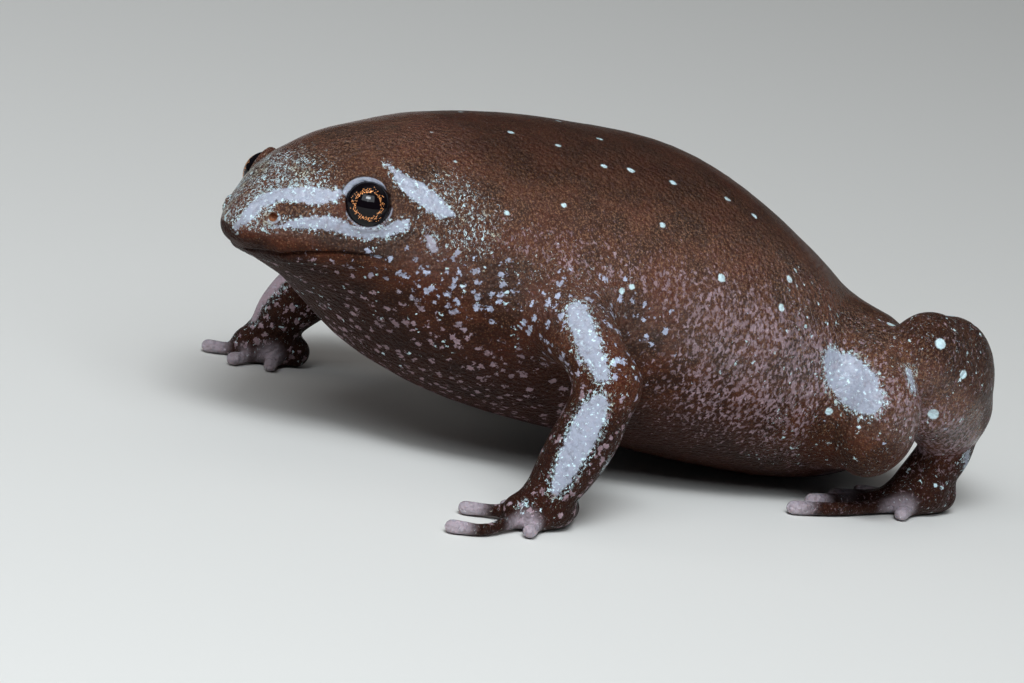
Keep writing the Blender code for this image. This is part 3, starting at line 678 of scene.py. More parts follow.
# Stations are x, y, z and half width.
FACE_BANDS = {
    "snout_to_eye": (
        (1.74, -14.84, 8.28, 0.14), (2.08, -14.55, 8.85, 0.28), (2.03, -14.17, 9.36, 0.34),
        (2.28, -13.7, 9.72, 0.31), (2.61, -13.36, 9.86, 0.32), (2.91, -13.03, 9.95, 0.35),
        (3.18, -12.68, 10.01, 0.36), (3.46, -12.17, 10.11, 0.29), (3.62, -11.8, 10.32, 0.14),
    ),
    "under_eye": (
        (2.75, -13.93, 8.57, 0.04), (2.96, -13.65, 8.78, 0.12), (3.25, -13.17, 8.97, 0.2),
        (3.53, -12.67, 9.12, 0.29), (3.79, -12.15, 9.17, 0.3), (4.06, -11.6, 9.09, 0.27),
        (4.32, -11.05, 9.05, 0.26), (4.46, -10.48, 9.14, 0.26), (4.55, -10.03, 9.36, 0.28),
        (4.65, -9.64, 9.54, 0.22),
    ),
    "behind_eye": (
        (3.17, -10.14, 11.42, 0.06), (3.61, -9.92, 11.18, 0.15), (3.96, -9.65, 10.95, 0.33),
        (4.23, -9.34, 10.75, 0.4), (4.47, -8.93, 10.55, 0.41), (4.74, -8.49, 10.25, 0.36),
        (4.91, -8.05, 10.1, 0.2),
    ),
    "tear": (
        (4.86, -8.97, 9.52, 0.05), (4.94, -8.83, 9.28, 0.14), (5.02, -8.65, 9, 0.24),
        (5.08, -8.48, 8.72, 0.12),
    ),
}
# Bare brown skin runs between the two pale bands in front of the eye.
BARE_GAP = (
    (2.78, -13.61, 9.36, 0.14), (3.12, -13.13, 9.51, 0.18), (3.49, -12.53, 9.61, 0.2),
    (3.86, -11.89, 9.72, 0.16),
)
LEFT_ARM_BANDS = {
    "upper_arm": (
        (8.22, -4.18, 7.72, 0.4), (8.8, -4.16, 7.27, 0.46), (9.32, -4.06, 6.74, 0.45),
        (9.74, -3.86, 6.23, 0.38), (10, -3.7, 5.9, 0.3),
    ),
    "forearm": (
        (10.21, -3.77, 4.9, 0.4), (10.22, -3.95, 4.49, 0.55), (10.28, -4.17, 3.87, 0.58),
        (10.3, -4.34, 3.27, 0.52), (10.27, -4.52, 2.66, 0.45), (10.26, -4.64, 2.13, 0.36),
        (10.21, -4.79, 1.63, 0.22),
    ),
    "forearm_edge": ((10.18, -2.92, 2.95, 0.1), (10.15, -3.1, 2.5, 0.1)),
    "middle_finger": ((9.99, -5.86, 1.07, 0.1), (10.3, -6.56, 0.89, 0.14), (10.6, -7.28, 0.82, 0.12)),
}
RIGHT_ARM_BANDS = {
    "upper_arm": ((-7.9, -4.9, 6.9, 0.32), (-8.6, -5, 6.1, 0.34), (-9.1, -5.1, 5.4, 0.28)),
    "forearm": (
        (-9.5, -5.4, 4.4, 0.36), (-9.7, -6.1, 3.5, 0.48), (-9.9, -6.6, 2.6, 0.42), (-10, -7, 1.7, 0.26),
    ),
}
LEG_BANDS = {
    "thigh": (
        (7.5, 7.45, 6.15, 0.5), (7.75, 7.95, 5.75, 0.8), (8.3, 8.25, 5.4, 0.85), (8.8, 8.5, 5.1, 0.62),
    ),
    "fold": ((8.62, 10.1, 6.2, 0.2), (9.12, 10.11, 5.74, 0.22)),
    "ankle": ((6.5, 14.4, 3.2, 0.22), (6.76, 14.61, 2.68, 0.25), (6.6, 14.9, 2, 0.18)),
}

# Dots are x, y, z and radius. The right side's lie this much further back than the left side's.
DOT_SHIFT = -0.6
LEG_DOTS = (
    (8.69, 11.18, 7.34, 0.2), (8.46, 11.7, 4.56, 0.21), (8.81, 12.39, 6.25, 0.17),
    (6.53, 12.83, 7.83, 0.2), (5.83, 14.33, 2.01, 0.22), (6.42, 10.41, 7.33, 0.16),
    (7.74, 7.61, 4.27, 0.14),
)
BACK_DOTS = (
    (1.39, -4.18, 12.39, 0.12), (2.25, -2.64, 12.23, 0.11), (3.44, -1.28, 11.86, 0.12),
    (3.47, -0.14, 11.79, 0.15), (3.84, 1.49, 11.54, 0.14), (5.2, -3.69, 10.77, 0.09),
    (5.92, 0.11, 10.45, 0.11), (3.37, -7.43, 11.58, 0.1), (5.18, -5.95, 10.33, 0.09),
    (1.61, -7.57, 12.16, 0.08), (1.14, -8.19, 12.14, 0.07), (1.05, -0.21, 12.28, 0.12),
    (7.21, 2.2, 8.95, 0.15), (6.57, 5.5, 8.89, 0.14), (7.19, -1.84, 8.25, 0.12),
    (7.18, -1.45, 8.42, 0.1), (7.42, 4.85, 8.02, 0.14), (4.13, 3.77, 11.12, 0.12),
    (4.52, 4.81, 10.64, 0.13),
)
# On the right the snout's band starts further back, and lies lower and thinner.
RIGHT_SNOUT_STARTS, RIGHT_SNOUT_DROP = 4, (0.0, 0.0, 0.35, 0.08)


def across_head(rows):
    """The same rows on the other side of the head."""
    rows = np.array(rows)
    rows[:, :3] -= 2 * np.outer((rows[:, :3] - EYE_MIDDLE) @ HEAD_LEFT, HEAD_LEFT)
    return rows


def band_depth(points, rows):
    """How deep each point lies inside a band: its half width there less the distance to its middle."""
    rows = np.array(rows)
    depth = np.full(len(points), -9.0)
    for a, b in zip(rows[:-1], rows[1:]):
        way = b[:3] - a[:3]
        t = np.clip((points - a[:3]) @ way / (way @ way), 0, 1)
        gap = np.linalg.norm(points - a[:3] - t[:, None] * way, axis=1)
        depth = np.maximum(depth, a[3] + (b[3] - a[3]) * t - gap)
    return depth


def depth_on_either_side(rows):
    return np.maximum(band_depth(places, rows), band_depth(places, across_head(rows)))


places = own_points(skin)
bands = [
    *FACE_BANDS.values(), *(across_head(FACE_BANDS[name]) for name in ("under_eye", "behind_eye", "tear")),
    across_head(FACE_BANDS["snout_to_eye"][RIGHT_SNOUT_STARTS:]) - RIGHT_SNOUT_DROP,
    *LEFT_ARM_BANDS.values(), *RIGHT_ARM_BANDS.values(),
    *LEG_BANDS.values(), *(mirrored(rows) for rows in LEG_BANDS.values()),
]
band = np.max([band_depth(places, rows) for rows in bands], axis=0)
give(skin, "band", band)

# A pale crescent hugs each eye from above, widest in front: the lid's own pale edge, partly a painted
# reflection of the light. A thin pale line below the eye is a painted highlight, and a thin dark line along
# the crescent's outer edge above the eye is painted shade.
EYE_EDGE, CRESCENT_RISE, CRESCENT_SWELL, CRESCENT_FULLEST = 0.79, 0.13, 0.11, math.radians(42)
CRESCENT_ENDS = math.radians(14), math.radians(36), math.radians(120), math.radians(160)
LOWER_GLINT_RADIUS, LOWER_GLINT_HALF = 0.87, 0.028
LID_MARKS_REACH, FOLD_SHADE_HALF, FOLD_SHADE_OUTSIDE, FAR_SHARE = 1.35, 0.035, 0.045, 0.8
lid_marks_and_glints, lid_fold_shades = [], []
for side, middle in zip((1, -1), EYES.values()):
    look, ahead, up = lid_frame(side)
    offset = places - middle
    out = np.hypot(offset @ ahead, offset @ up)
    turn = np.arctan2(offset @ up, offset @ ahead)
    near_eye = np.minimum(LID_MARKS_REACH - np.linalg.norm(offset, axis=1), offset @ look + 0.2)
    swell = np.maximum(np.cos(turn - CRESCENT_FULLEST), 0) ** 2
    kept = fade(turn, *CRESCENT_ENDS[:2]) * (1 - fade(turn, *CRESCENT_ENDS[2:]))
    breadth = CRESCENT_RISE + CRESCENT_SWELL * swell if side > 0 else FAR_SHARE * CRESCENT_RISE
    crescent = breadth * kept + EYE_EDGE - out
    # Painted highlight: a thin pale line just below the eye.
    below = LOWER_GLINT_HALF - np.abs(out - LOWER_GLINT_RADIUS)
    below = np.minimum(below, 0.3 * (-0.25 - np.sin(turn)))
    lid_marks_and_glints.append(np.minimum(np.maximum(crescent, below), near_eye))
    # Painted shade: a thin dark line along the crescent's outer edge, above the eye.
    fold = FOLD_SHADE_HALF - np.abs(crescent + FOLD_SHADE_OUTSIDE)
    lid_fold_shades.append(np.minimum.reduce([fold, near_eye, 0.5 * (np.sin(turn) - 0.1)]))
give(skin, "lid_pale_and_glints", np.max(lid_marks_and_glints, axis=0))
give(skin, "fold", np.max(lid_fold_shades, axis=0))

# The closed mouth: height above its line, in shares of the line's half width, which tapers.
MOUTH_HALF, MOUTH_TAPERS = 0.036, (-12.0, -10.3)
from_plane = places[:, 0] - JAW_MIDDLE_X
along = places[:, 1] - from_plane * TURN_SLOPE
above_line = places[:, 2] - np.interp(along, *MOUTH.T) - from_plane * ROLL_SLOPE
line_half = MOUTH_HALF * (1 - fade(along, *MOUTH_TAPERS)) + 0.001
give(skin, "mouth", np.clip(above_line / line_half, -9, 9))

# How thickly each kind of pigment lies, from place on the body, and where the thick places are.
COLLAR = (4.6, -7.9, 10.5), (5.2, -7.2, 9.7), (-4.4, -7.8, 10.7), (-5.1, -6.9, 9.9)
PLAIN_THIGH = (7.9, 9.0, 3.2), (-7.9, 8.0, 2.7)
SHOULDERS = (5.8, -6.1, 7.4), (6.2, -5.3, 6.6), (-5.8, -6.3, 7.2), (-6.2, -5.5, 6.4)
SNOUT_FLECKS, COLLAR_FLECKS, FLANK_FLECKS, LIMB_FLECKS, ARM_BAND_FLECKS = 0.76, 0.64, 0.42, 0.36, 0.66
FLANK_BLOTCHES, LIMB_BLOTCHES = 0.80, 0.40
x_middle, z_middle, width, rise, drop = np.array([body_at(y) for y in places[:, 1]]).T
height = (places[:, 2] - z_middle) / np.maximum(np.where(places[:, 2] > z_middle, rise, drop), 0.1)
limb_share = fade(np.abs(places[:, 0]) - np.where(places[:, 1] > 5, 5.2, 7.4), 0.0, 0.8)
tip = 1 - fade(along, -14.4, -13.6)
snout = (1 - fade(along, -13.3, -10.6)) * fade(height + 0.35 * tip, 0.1, 0.45)
snout *= 1 - fade(depth_on_either_side(BARE_GAP), -0.10, 0.02)
collar = nearness(places, COLLAR, 0.4, 2.7)
trunk = fade(places[:, 1], -8.5, -5.0)
flank = trunk * fade(height, -1.1, -0.2) * (1 - fade(height, 0.25, 0.80))
front = 1 - fade(places[:, 1], -3.0, 1.5)
chest = (1 - fade(places[:, 1], -2.0, 2.5)) * (1 - fade(height, 0.0, 0.5)) * fade(places[:, 1], -12.5, -9.5)
beside_bands = fade(np.abs(places[:, 0]), 6.6, 7.4) * fade(band, -0.5, -0.05)
give(skin, "flecks", np.maximum.reduce([
    SNOUT_FLECKS * snout, COLLAR_FLECKS * collar, FLANK_FLECKS * flank * front * fade(height, -0.5, 0.1),
    LIMB_FLECKS * limb_share, ARM_BAND_FLECKS * beside_bands,
]))
blotches = np.maximum(FLANK_BLOTCHES * flank * (1 - 0.08 * front), LIMB_BLOTCHES * limb_share)
give(skin, "blotches", blotches * (1 - 0.7 * chest) * (1 - 0.8 * nearness(places, PLAIN_THIGH, 1.2, 2.6)))
throat = fade(along, -14.2, -12.5) * (1 - fade(places[:, 1], -2.0, 2.5)) * (1 - fade(height, -0.35, 0.05))
cheek = fade(along, -14.3, -13.8) * (1 - fade(places[:, 1], -7.5, -5.5)) * (1 - fade(height, 0.0, 0.3))
shoulder = nearness(places, SHOULDERS, 0.5, 2.2)
give(skin, "clusters", np.maximum.reduce([
    0.62 * throat, 0.80 * chest, 0.85 * shoulder, 0.16 * limb_share, 0.2 * flank,
]))
give(skin, "stars", np.maximum.reduce([0.34 * cheek, 0.55 * shoulder, 0.34 * limb_share, 0.12 * flank]))
# Painted shade: darker under the body and over the top of the trunk.
give(skin, "painted_shade", 1 - fade(height, -0.75, -0.1) + 0.70 * trunk * fade(height, 0.60, 0.95))
wet = fade(height, -0.35, 0.15) * (1 - 0.62 * trunk * fade(height, 0.55, 0.9))
give(skin, "gloss", np.maximum(wet, tip_share))
dull = fade(-places[:, 0], 6.5, 7.5) * (places[:, 1] < 0)
tear = 0.4 * fade(depth_on_either_side(FACE_BANDS["tear"]), -0.6, -0.2)
give(skin, "dull", np.maximum(dull, tear))
give(skin, "gold", np.clip(fade(height, -0.2, 0.5) + 0.3 * limb_share, 0, 1))
# Painted shade under the body, which dims the clusters there.
give(skin, "deep", 1 - fade(height, -0.75, -0.1))
give(skin, "tip", tip_share)

# Each nostril's pit is orange, and its rim is pale on the low, back side.
PIT_OVERLAP, PALE_RIM_HALF, PALE_SIDE = 0.01, 0.045, np.array((0.0, 0.6, -1.0))
pit, rim = [], []
for spot, out in nostrils:
    offset = places - spot
    flat = offset - np.outer(offset @ out, out)
    from_middle = np.linalg.norm(flat, axis=1)
    near = NEAR_REACH - np.linalg.norm(offset, axis=1)
    pit.append(np.minimum(NOSTRIL_PIT + PIT_OVERLAP - from_middle, near))
    pale_way = unit(PALE_SIDE - out * (PALE_SIDE @ out))
    ring = PALE_RIM_HALF - np.abs(from_middle - NOSTRIL_RIM)
    rim.append(np.minimum.reduce([ring, 0.5 * (flat @ pale_way), near]))
give(skin, "pit", np.max(pit, axis=0))
give(skin, "rim", np.max(rim, axis=0))

# Colour of the hide. Chocolate brown with a fine bronze grain, wet, and a little of the light goes
# in under the surface. Every pattern is worked out from place in millimetres, so it wraps the frog.
DARK_BROWN, MID_BROWN = (0.014, 0.004, 0.003, 1), (0.036, 0.012, 0.006, 1)
WARM_BROWN, RED_BROWN = (0.090, 0.028, 0.014, 1), (0.100, 0.024, 0.012, 1)
BRONZE, DIM_LAVENDER = (0.26, 0.130, 0.065, 1), (0.36, 0.25, 0.28, 1)
LAVENDER, PALE_LAVENDER = (0.33, 0.350, 0.425, 1), (0.47, 0.51, 0.66, 1)
# PALE_BLUE is the colour of the pale stars, flecks and dots, and also of painted glints on the bands.
PALE_BLUE, CREAM, PINK = (0.66, 0.83, 0.88, 1), (0.58, 0.60, 0.50, 1), (0.50, 0.42, 0.47, 1)
NOSTRIL_BROWN = (0.34, 0.12, 0.05, 1)

skin_finish.use_nodes = True
hide = skin_finish.node_tree
hide.nodes.clear()
spot = scaled(hide, node_of(hide, "ShaderNodeTexCoord")["Object"], 1 / MM)
# Flecks on the flank are drawn out downward and back.
LEAN, DRAWN_OUT = (math.radians(-24), 0, 0), (1.0, 1.0, 0.70)
lean = node_of(
    hide, "ShaderNodeMapping", {"vector_type": "POINT"}, Vector=spot, Rotation=LEAN, Scale=DRAWN_OUT
)[0]


def noise(per_mm, detail=2.0, vector=spot, rough=0.5, warp=0.0):
    return node_of(
        hide, "ShaderNodeTexNoise", Vector=vector, Scale=per_mm, Detail=detail, Roughness=rough,
        Distortion=warp,
    )[0]


def ramp(value, low, high, start=0.0, end=1.0):
    return node_of(
        hide, "ShaderNodeMapRange", {"interpolation_type": "SMOOTHSTEP"}, i0=value, i1=low, i2=high,
        i3=start, i4=end,
    )[0]


def mixed(share, under, over):
    colours = {"data_type": "RGBA", "clamp_factor": True}
    return node_of(hide, "ShaderNodeMix", colours, Factor=share, i6=under, i7=over)[2]


def vectors(operation, first, second):
    return node_of(hide, "ShaderNodeVectorMath", {"operation": operation}, i0=first, i1=second)


def times(first, second):
    return maths(hide, "MULTIPLY", first, second)


def plus(first, second):
    return maths(hide, "ADD", first, second)


def minus(first, second):
    return maths(hide, "SUBTRACT", first, second)


def stored(name):
    return node_of(hide, "ShaderNodeAttribute", {"attribute_name": name})["Fac"]


def strewn(pattern, thickness, edge, bare=0.76, thick=0.30):
    """Where a pattern of values about 0.5 rises past a level that falls as the pigment thickens."""
    level = minus(bare, times(thickness, thick))
    return ramp(minus(pattern, level), -edge, edge)


def stars(per_mm, thickness, reach=0.37, wander_by=0.38):
    """Separate small ragged spots, more and bigger where the pigment is thicker."""
    swirl = node_of(hide, "ShaderNodeTexNoise", Vector=spot, Scale=7.0, Detail=5.0)["Color"]
    wander = scaled(hide, vectors("SUBTRACT", swirl, (0.5, 0.5, 0.5))[0], wander_by)
    place = vectors("ADD", spot, wander)[0]
    cells = node_of(hide, "ShaderNodeTexVoronoi", Vector=place, Scale=per_mm)
    chance = node_of(hide, "ShaderNodeSeparateColor", Color=cells["Color"])[0]
    present = minus(plus(chance, thickness), 1.0)
    size = ramp(present, 0.0, 0.40, -0.05, reach)
    torn = plus(cells["Distance"], times(minus(noise(9.0, 4.0, spot, 0.7), 0.5), 0.80))
    return ramp(minus(size, torn), -0.05, 0.07)


# The brown: broad warm and red clouds, fine dark grain, bronze stipple, and painted shade: darker under the
# body and on the top of the trunk.
brown = mixed(ramp(noise(0.9, 4.0), 0.35, 0.68), MID_BROWN, WARM_BROWN)
brown = mixed(times(ramp(noise(0.33, 2.0), 0.4, 0.7), 0.75), brown, RED_BROWN)
brown = mixed(ramp(noise(20.0, 1.0), 0.46, 0.70, 0.0, 0.55), brown, DARK_BROWN)
stipple = node_of(hide, "ShaderNodeTexVoronoi", Vector=spot, Scale=10.0)["Distance"]
brown = mixed(ramp(stipple, 0.38, 0.20, 0.0, 0.38), brown, BRONZE)
gold = times(ramp(noise(15.0, 2.0, lean), 0.53, 0.64), stored("gold"))
paint = mixed(times(gold, 0.60), brown, BRONZE)
paint = mixed(times(stored("painted_shade"), 0.75), paint, DARK_BROWN)

# The flank's blotches, the clusters, dimmer under the body as painted shade, the small pale-blue stars and
# the flecks.
blotch = strewn(noise(6.8, 3.0, lean, 0.6, 0.4), stored("blotches"), 0.065)
paint = mixed(times(blotch, ramp(noise(2.0, 2.0), 0.3, 0.7, 0.45, 0.9)), paint, DIM_LAVENDER)
cluster_colour_with_painted_shade = mixed(ramp(stored("deep"), 0.0, 0.6), PALE_LAVENDER, DIM_LAVENDER)
cluster = times(stars(3.0, stored("clusters")), ramp(noise(1.4, 2.0), 0.35, 0.65, 0.62, 1.0))
paint = mixed(cluster, paint, cluster_colour_with_painted_shade)
paint = mixed(times(stars(3.6, stored("stars"), 0.30, 0.34), 0.92), paint, PALE_BLUE)
fleck_colour = mixed(ramp(noise(1.7, 1.0), 0.48, 0.68), PALE_BLUE, CREAM)
fleck = strewn(noise(10.5, 4.0, lean, 0.72, 0.8), stored("flecks"), 0.03)
paint = mixed(times(fleck, ramp(noise(3.1, 1.0), 0.3, 0.7, 0.40, 1.0)), paint, fleck_colour)

# The bands have a ragged edge, a bright fringe of pale flecks, and painted glints, pale-blue patches inside
# them. The lids, nostrils and mouth go over them.
rough_edge = times(minus(noise(6.0, 4.0, spot, 0.75), 0.5), 0.6)
band = ramp(plus(stored("band"), rough_edge), 0.0, 0.08)
band_colour = mixed(times(stored("dull"), 0.85), LAVENDER, DIM_LAVENDER)
paint = mixed(times(band, ramp(noise(3.4, 3.0, spot, 0.65), 0.3, 0.55, 0.66, 0.97)), paint, band_colour)
fringe = times(
    ramp(maths(hide, "ABSOLUTE", stored("band")), 0.20, 0.02), ramp(noise(8.0, 3.0, spot, 0.7), 0.56, 0.62)
)
# Painted glints: pale-blue patches inside the bands, added to the fringe.
inner = times(band, ramp(noise(5.5, 4.0, spot, 0.7), 0.585, 0.64))
fringe_and_band_glints = times(maths(hide, "MAXIMUM", fringe, inner), minus(0.85, times(stored("dull"), 0.7)))
paint = mixed(fringe_and_band_glints, paint, PALE_BLUE)
# The pale crescent, partly a painted reflection of the light, and the painted highlight below the eye.
paint = mixed(ramp(stored("lid_pale_and_glints"), -0.02, 0.02), paint, LAVENDER)
# Painted shade above each eye.
paint = mixed(ramp(stored("fold"), -0.02, 0.03, 0.0, 0.7), paint, DARK_BROWN)
paint = mixed(ramp(stored("rim"), -0.01, 0.03, 0.0, 0.85), paint, LAVENDER)
paint = mixed(ramp(stored("pit"), -0.03, 0.03), paint, NOSTRIL_BROWN)
paint = mixed(ramp(maths(hide, "ABSOLUTE", stored("mouth")), 1.0, 0.3, 0.0, 0.75), paint, DARK_BROWN)

# The round dots: both sides of the body are brought to one side, a little out of step.
x_part, y_part, z_part = node_of(hide, "ShaderNodeSeparateXYZ", Vector=spot)
own_x = minus(x_part, float(SETTLED[0]))
on_right = maths(hide, "LESS_THAN", own_x, 0.0)
folded = node_of(
    hide, "ShaderNodeCombineXYZ", X=maths(hide, "ABSOLUTE", own_x),
    Y=minus(minus(y_part, float(SETTLED[1])), times(on_right, DOT_SHIFT)),
    Z=minus(z_part, float(SETTLED[2])),
)[0]
dot = None
for *centre, size in (*BACK_DOTS, *LEG_DOTS):
    inside = minus(size, vectors("DISTANCE", folded, centre)["Value"])
    dot = inside if dot is None else maths(hide, "MAXIMUM", dot, inside)
paint = mixed(times(ramp(plus(dot, times(rough_edge, 0.3)), -0.03, 0.03), 0.9), paint, PALE_BLUE)
paint = mixed(times(stored("tip"), 0.80), paint, PINK)

# The wet coat is thick on the flanks, limbs and tips, and its pores fade on the smooth pale bands.
PORES_PER_MM, PORE_BLEND, PORE_STRENGTH, PORE_DEPTH = 5.5, 0.35, 0.85, 0.13
WATER_IOR, COAT_IOR, SHEEN_LEVEL, COAT_ROUGHNESS = 1.33, 1.42, 0.12, 0.13
GLOW, GLOW_REACH, GLOW_COLOURS = 0.10, 0.4, (1.0, 0.35, 0.2)
rough = plus(times(noise(3.0, 3.0), 0.25), 0.35)
wetness = ramp(stored("gloss"), 0.0, 1.0, 0.03, 1.0)
pits = node_of(
    hide, "ShaderNodeTexVoronoi", {"feature": "SMOOTH_F1"}, Vector=spot, Scale=PORES_PER_MM,
    Smoothness=PORE_BLEND,
)["Distance"]
pores = times(plus(noise(14.0, 3.0, spot, 0.6), times(pits, -1.2)), minus(1.0, times(band, 0.7)))
relief = node_of(
    hide, "ShaderNodeBump", Height=pores, Strength=PORE_STRENGTH, Distance=PORE_DEPTH * MM
)[0]
shader = node_of(
    hide, "ShaderNodeBsdfPrincipled", {"subsurface_method": "RANDOM_WALK"}, Base_Color=paint,
    Roughness=rough, Normal=relief, IOR=WATER_IOR, Specular_IOR_Level=SHEEN_LEVEL, Coat_Weight=wetness,
    Coat_Roughness=COAT_ROUGHNESS, Coat_IOR=COAT_IOR, Coat_Normal=relief, Subsurface_Weight=GLOW,
    Subsurface_Radius=GLOW_COLOURS, Subsurface_Scale=GLOW_REACH * MM,
)
hide.links.new(shader[0], hide.nodes.new("ShaderNodeOutputMaterial").inputs["Surface"])
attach(skin, "root")
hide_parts(*(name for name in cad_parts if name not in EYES))


# Eyes. Each is a polished near-black ball whose iris carries a ring of tiny copper flakes round a
# round pupil. The flakes are strewn by a node tree over the ball's own surface, thickest at the
# pupil's edge, and lie flush in its gloss.
EYE_SIDES, EYE_RINGS = 96, 64
PUPIL_RADIUS, IRIS_RADIUS = 0.44, 0.68
FLAKE_SIZE, FLAKE_LIFT, FLAKE_SEED, FLAKE_FINENESS = 0.019, 0.25, 4, 2
FLAKE_DENSITY, FLAKE_LEAST, FLAKE_SPREAD, FLAKE_LONGER = 420.0, 0.55, 0.9, 1.3
BALL_BLACK, COPPER = (0.003, 0.002, 0.003, 1), (0.85, 0.34, 0.11, 1)


def plain_finish(name, colour, **inputs):
    finish = bpy.data.materials.new(name)
    finish.use_nodes = True
    shader = finish.node_tree.nodes["Principled BSDF"]
    shader.inputs["Base Color"].default_value = colour
    for key, value in inputs.items():
        shader.inputs[key.replace("_", " ")].default_value = value
    return finish


ball_finish = plain_finish("wet_black_eye", BALL_BLACK, Roughness=0.02, IOR=1.30)
flake_finish = plain_finish(
    "copper_flakes", COPPER, Roughness=0.3, Metallic=0.55, Coat_Weight=1.0, Coat_Roughness=0.03
)


def flake_tree(material):
    """Strews flakes over the faces in the iris, more of them near the pupil."""
    tree, entry = new_tree("iris_flakes", {
        "Density": FLAKE_DENSITY, "Flake Size": FLAKE_SIZE, "Thickness": FLAKE_LIFT, "Seed": FLAKE_SEED,
    })
    per_mm2 = maths(tree, "MULTIPLY", own_value(tree, "iris"), entry["Density"])
    points = node_of(
        tree, "GeometryNodeDistributePointsOnFaces", Mesh=entry["Geometry"], Seed=entry["Seed"],
        Density=maths(tree, "MULTIPLY", per_mm2, 1 / MM**2),
    )
    radius = maths(tree, "MULTIPLY", entry["Flake Size"], MM)
    flake = node_of(tree, "GeometryNodeMeshIcoSphere", Radius=radius, Subdivisions=1)[0]

    def drawn(seed, spread):
        """A random size for each flake, from the least up by the spread."""
        share = node_of(tree, "FunctionNodeRandomValue", {"data_type": "FLOAT"}, Seed=seed)[1]
        return maths(tree, "ADD", maths(tree, "MULTIPLY", share, spread), FLAKE_LEAST)

    stretch = node_of(
        tree, "ShaderNodeCombineXYZ", X=drawn(entry["Seed"], FLAKE_SPREAD),
        Y=drawn(maths(tree, "ADD", entry["Seed"], 1.0), FLAKE_LONGER), Z=entry["Thickness"],
    )[0]
    flakes = node_of(
        tree, "GeometryNodeInstanceOnPoints", Points=points["Points"], Instance=flake,
        Rotation=points["Rotation"], Scale=stretch,
    )[0]
    return end_tree(tree, flakes, material)


def eyeball(name, middle, look, fineness=1):
    """A ball whose pole is the middle of the pupil, its faces always in the same order."""
    sides, rings = EYE_SIDES * fineness, EYE_RINGS * fineness
    turn = np.linspace(0, 2 * math.pi, sides, endpoint=False)
    tilt = np.linspace(0, math.pi, rings + 1)[1:-1, None]
    around = np.stack(np.broadcast_arrays(
        np.sin(tilt) * np.cos(turn), np.sin(tilt) * np.sin(turn), np.cos(tilt)
    ), -1).reshape(-1, 3)
    points = np.concatenate(([(0, 0, 1)], around, [(0, 0, -1)]))
    turned = np.array(Vector(look).to_track_quat("Z", "Y").to_matrix())
    points = (points @ turned.T * EYE_RADIUS + middle + SETTLED) * MM
    south = len(points) - 1
    faces = []
    for side in range(sides):
        beside = (side + 1) % sides
        faces.append((0, 1 + side, 1 + beside))
        for row in range(1, south - sides, sides):
            faces.append((row + side, row + sides + side, row + sides + beside, row + beside))
        faces.append((south, south - sides + beside, south - sides + side))
    mesh = bpy.data.meshes.new(name)
    mesh.from_pydata(points.tolist(), [], faces)
    mesh.shade_smooth()
    return placed_in_scene(name, mesh)


iris_trees = flake_tree(flake_finish)
# Amounts of flakes by distance out from the pupil's edge: a bright rim, then fewer and fewer.
RIM_AMOUNT, RIM_FADES = 2.0, (0.004, 0.018)
INNER_AMOUNT, INNER_FADES = 0.8, (0.04, 0.15)
OUTER_AMOUNT, OUTER_FADES = 0.22, (0.10, IRIS_RADIUS - PUPIL_RADIUS)
for (node_name, middle), side in zip(EYES.items(), (1, -1)):
    look, _, _ = lid_frame(side, IRIS_LOOK)
    ball = eyeball(f"{node_name}_ball", middle, look)
    ball.data.materials.append(ball_finish)
    flakes = eyeball(f"{node_name}_flakes", middle, look, FLAKE_FINENESS)
    offset = own_points(flakes) - middle
    outward = np.linalg.norm(offset - np.outer(offset @ look, look), axis=1) - PUPIL_RADIUS
    in_iris = (offset @ look > 0) * fade(outward, -0.008, 0.0)
    rim = RIM_AMOUNT * (1 - fade(outward, *RIM_FADES))
    inner = INNER_AMOUNT * (1 - fade(outward, *INNER_FADES))
    outer = OUTER_AMOUNT * (1 - fade(outward, *OUTER_FADES))
    give(flakes, "iris", in_iris * (rim + inner + outer))
    strew = flakes.modifiers.new("strew", "NODES")
    strew.node_group = iris_trees
    settle(flakes)
    for piece in (ball, flakes):
        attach(piece, "root")
        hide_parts(node_name)


# Stand-in studio: a pale plain floor, one big soft light above the camera, weaker ones at the
# sides, and a camera where the photograph's was, a little tilted.
CAMERA_TURN, CAMERA_RISE, CAMERA_TILT = math.radians(61.0), math.radians(12.6), math.radians(10.6)
CAMERA_DISTANCE = 220.0
TARGET = np.array((0.6, -11.0, 9.75))
IMAGE_SIZE, TARGET_PIXEL = (1024, 683), (322.6, 185.05)
PIXELS_PER_RADIAN = 6131.4
SENSOR = 36.0
FLOOR_COLOUR = (0.70, 0.68, 0.65, 1)
FLOOR_HALF = 3.0



def way_out(turn, rise):
    """The direction from the frog at a turn from its front and a rise from the floor."""
    return np.array((math.sin(turn) * math.cos(rise), -math.cos(turn) * math.cos(rise), math.sin(rise)))


back = way_out(CAMERA_TURN, CAMERA_RISE)
level = np.array((math.cos(CAMERA_TURN), math.sin(CAMERA_TURN), 0.0))
upward = np.cross(back, level)
right = math.cos(CAMERA_TILT) * level + math.sin(CAMERA_TILT) * upward
above = math.cos(CAMERA_TILT) * upward - math.sin(CAMERA_TILT) * level
aside = (IMAGE_SIZE[0] / 2 - TARGET_PIXEL[0]) / PIXELS_PER_RADIAN
below = (IMAGE_SIZE[1] / 2 - TARGET_PIXEL[1]) / PIXELS_PER_RADIAN
ahead = unit(aside * right - below * above - back)


def facing(direction, up):
    """A rotation that looks along the direction, with up as near the top as it can be."""
    side = unit(np.cross(direction, up))
    top = np.cross(side, direction)
    return Matrix(np.stack([side, top, -direction], axis=1)).to_4x4()


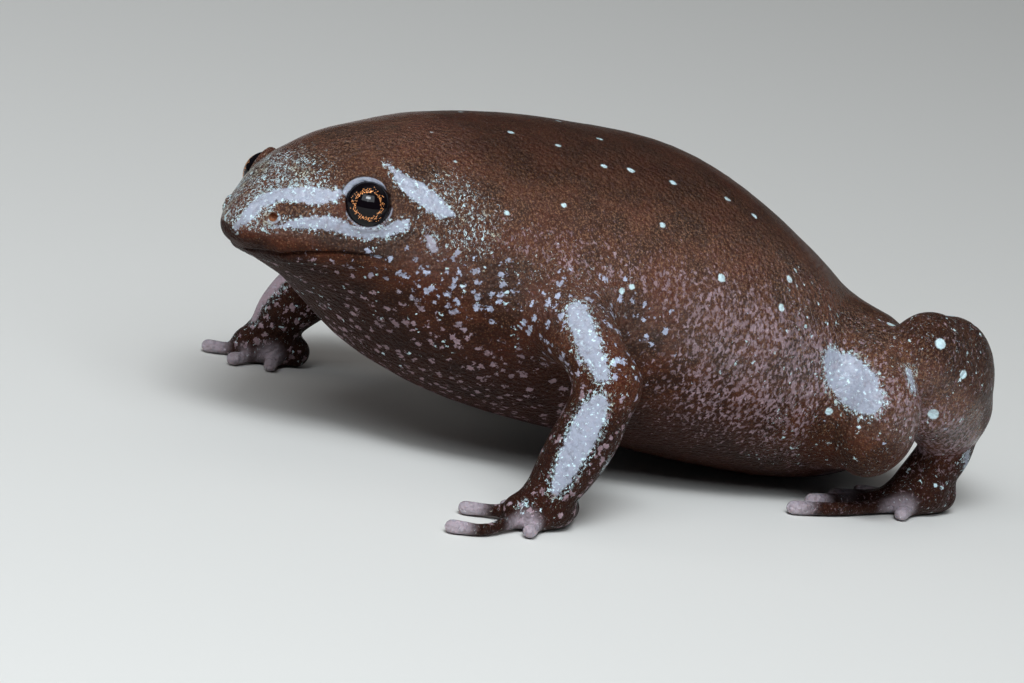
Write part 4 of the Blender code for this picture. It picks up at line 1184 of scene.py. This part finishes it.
camera = placed_in_scene("camera", bpy.data.cameras.new("camera"))
camera.data.sensor_width = SENSOR
camera.data.lens = PIXELS_PER_RADIAN / IMAGE_SIZE[0] * SENSOR
camera.data.clip_start, camera.data.clip_end = 0.01, 20.0
stand = Vector((TARGET + back * CAMERA_DISTANCE + SETTLED) * MM)
camera.matrix_world = Matrix.Translation(stand) @ facing(ahead, above)
bpy.context.scene.camera = camera

# Lights: turn and rise in degrees as seen from the frog, distance, size, power and colour.
DAYLIGHT, NEUTRAL, ROOM_DIM = (0.88, 0.95, 1.0), (1.0, 0.98, 0.95), (0.75, 0.80, 0.88, 1)
ROOM_STRENGTH = 0.05
LIT_PLACE = np.array((0.0, -0.004, 0.006))
LIGHTS = {
    "key_front": (45, 46, 0.3, (0.17, 0.16), 0.36, DAYLIGHT),
    "key_back": (77, 46, 0.3, (0.17, 0.16), 0.36, DAYLIGHT),
    "spark": (60, 48, 0.28, (0.1, 0.05), 0.45, DAYLIGHT),
    "rim": (200, 55, 0.45, (0.3, 0.3), 0.05, NEUTRAL),
    "side": (-20, 30, 0.5, (0.3, 0.3), 0.22, NEUTRAL),
    "room": (61, 88, 1.5, (1.2, 1.2), 2, NEUTRAL),
}
for name, (turn, rise, away, size, power, colour) in LIGHTS.items():
    lamp = placed_in_scene(name, bpy.data.lights.new(name, "AREA"))
    lamp.data.shape = "RECTANGLE"
    lamp.data.size, lamp.data.size_y = size
    lamp.data.energy = power
    lamp.data.color = colour
    out = way_out(math.radians(turn), math.radians(rise))
    lamp.matrix_world = Matrix.Translation(Vector(LIT_PLACE + out * away)) @ facing(-out, UPRIGHT)

world = bpy.data.worlds.new("studio")
world.use_nodes = True
world.node_tree.nodes["Background"].inputs["Color"].default_value = ROOM_DIM
world.node_tree.nodes["Background"].inputs["Strength"].default_value = ROOM_STRENGTH
bpy.context.scene.world = world
bpy.context.scene.view_settings.view_transform = "Standard"

floor_finish = plain_finish("pale_floor", FLOOR_COLOUR, Roughness=0.7)
bpy.ops.mesh.primitive_plane_add(size=2 * FLOOR_HALF)
floor = bpy.context.active_object
floor.name = "floor"
floor.data.materials.append(floor_finish)
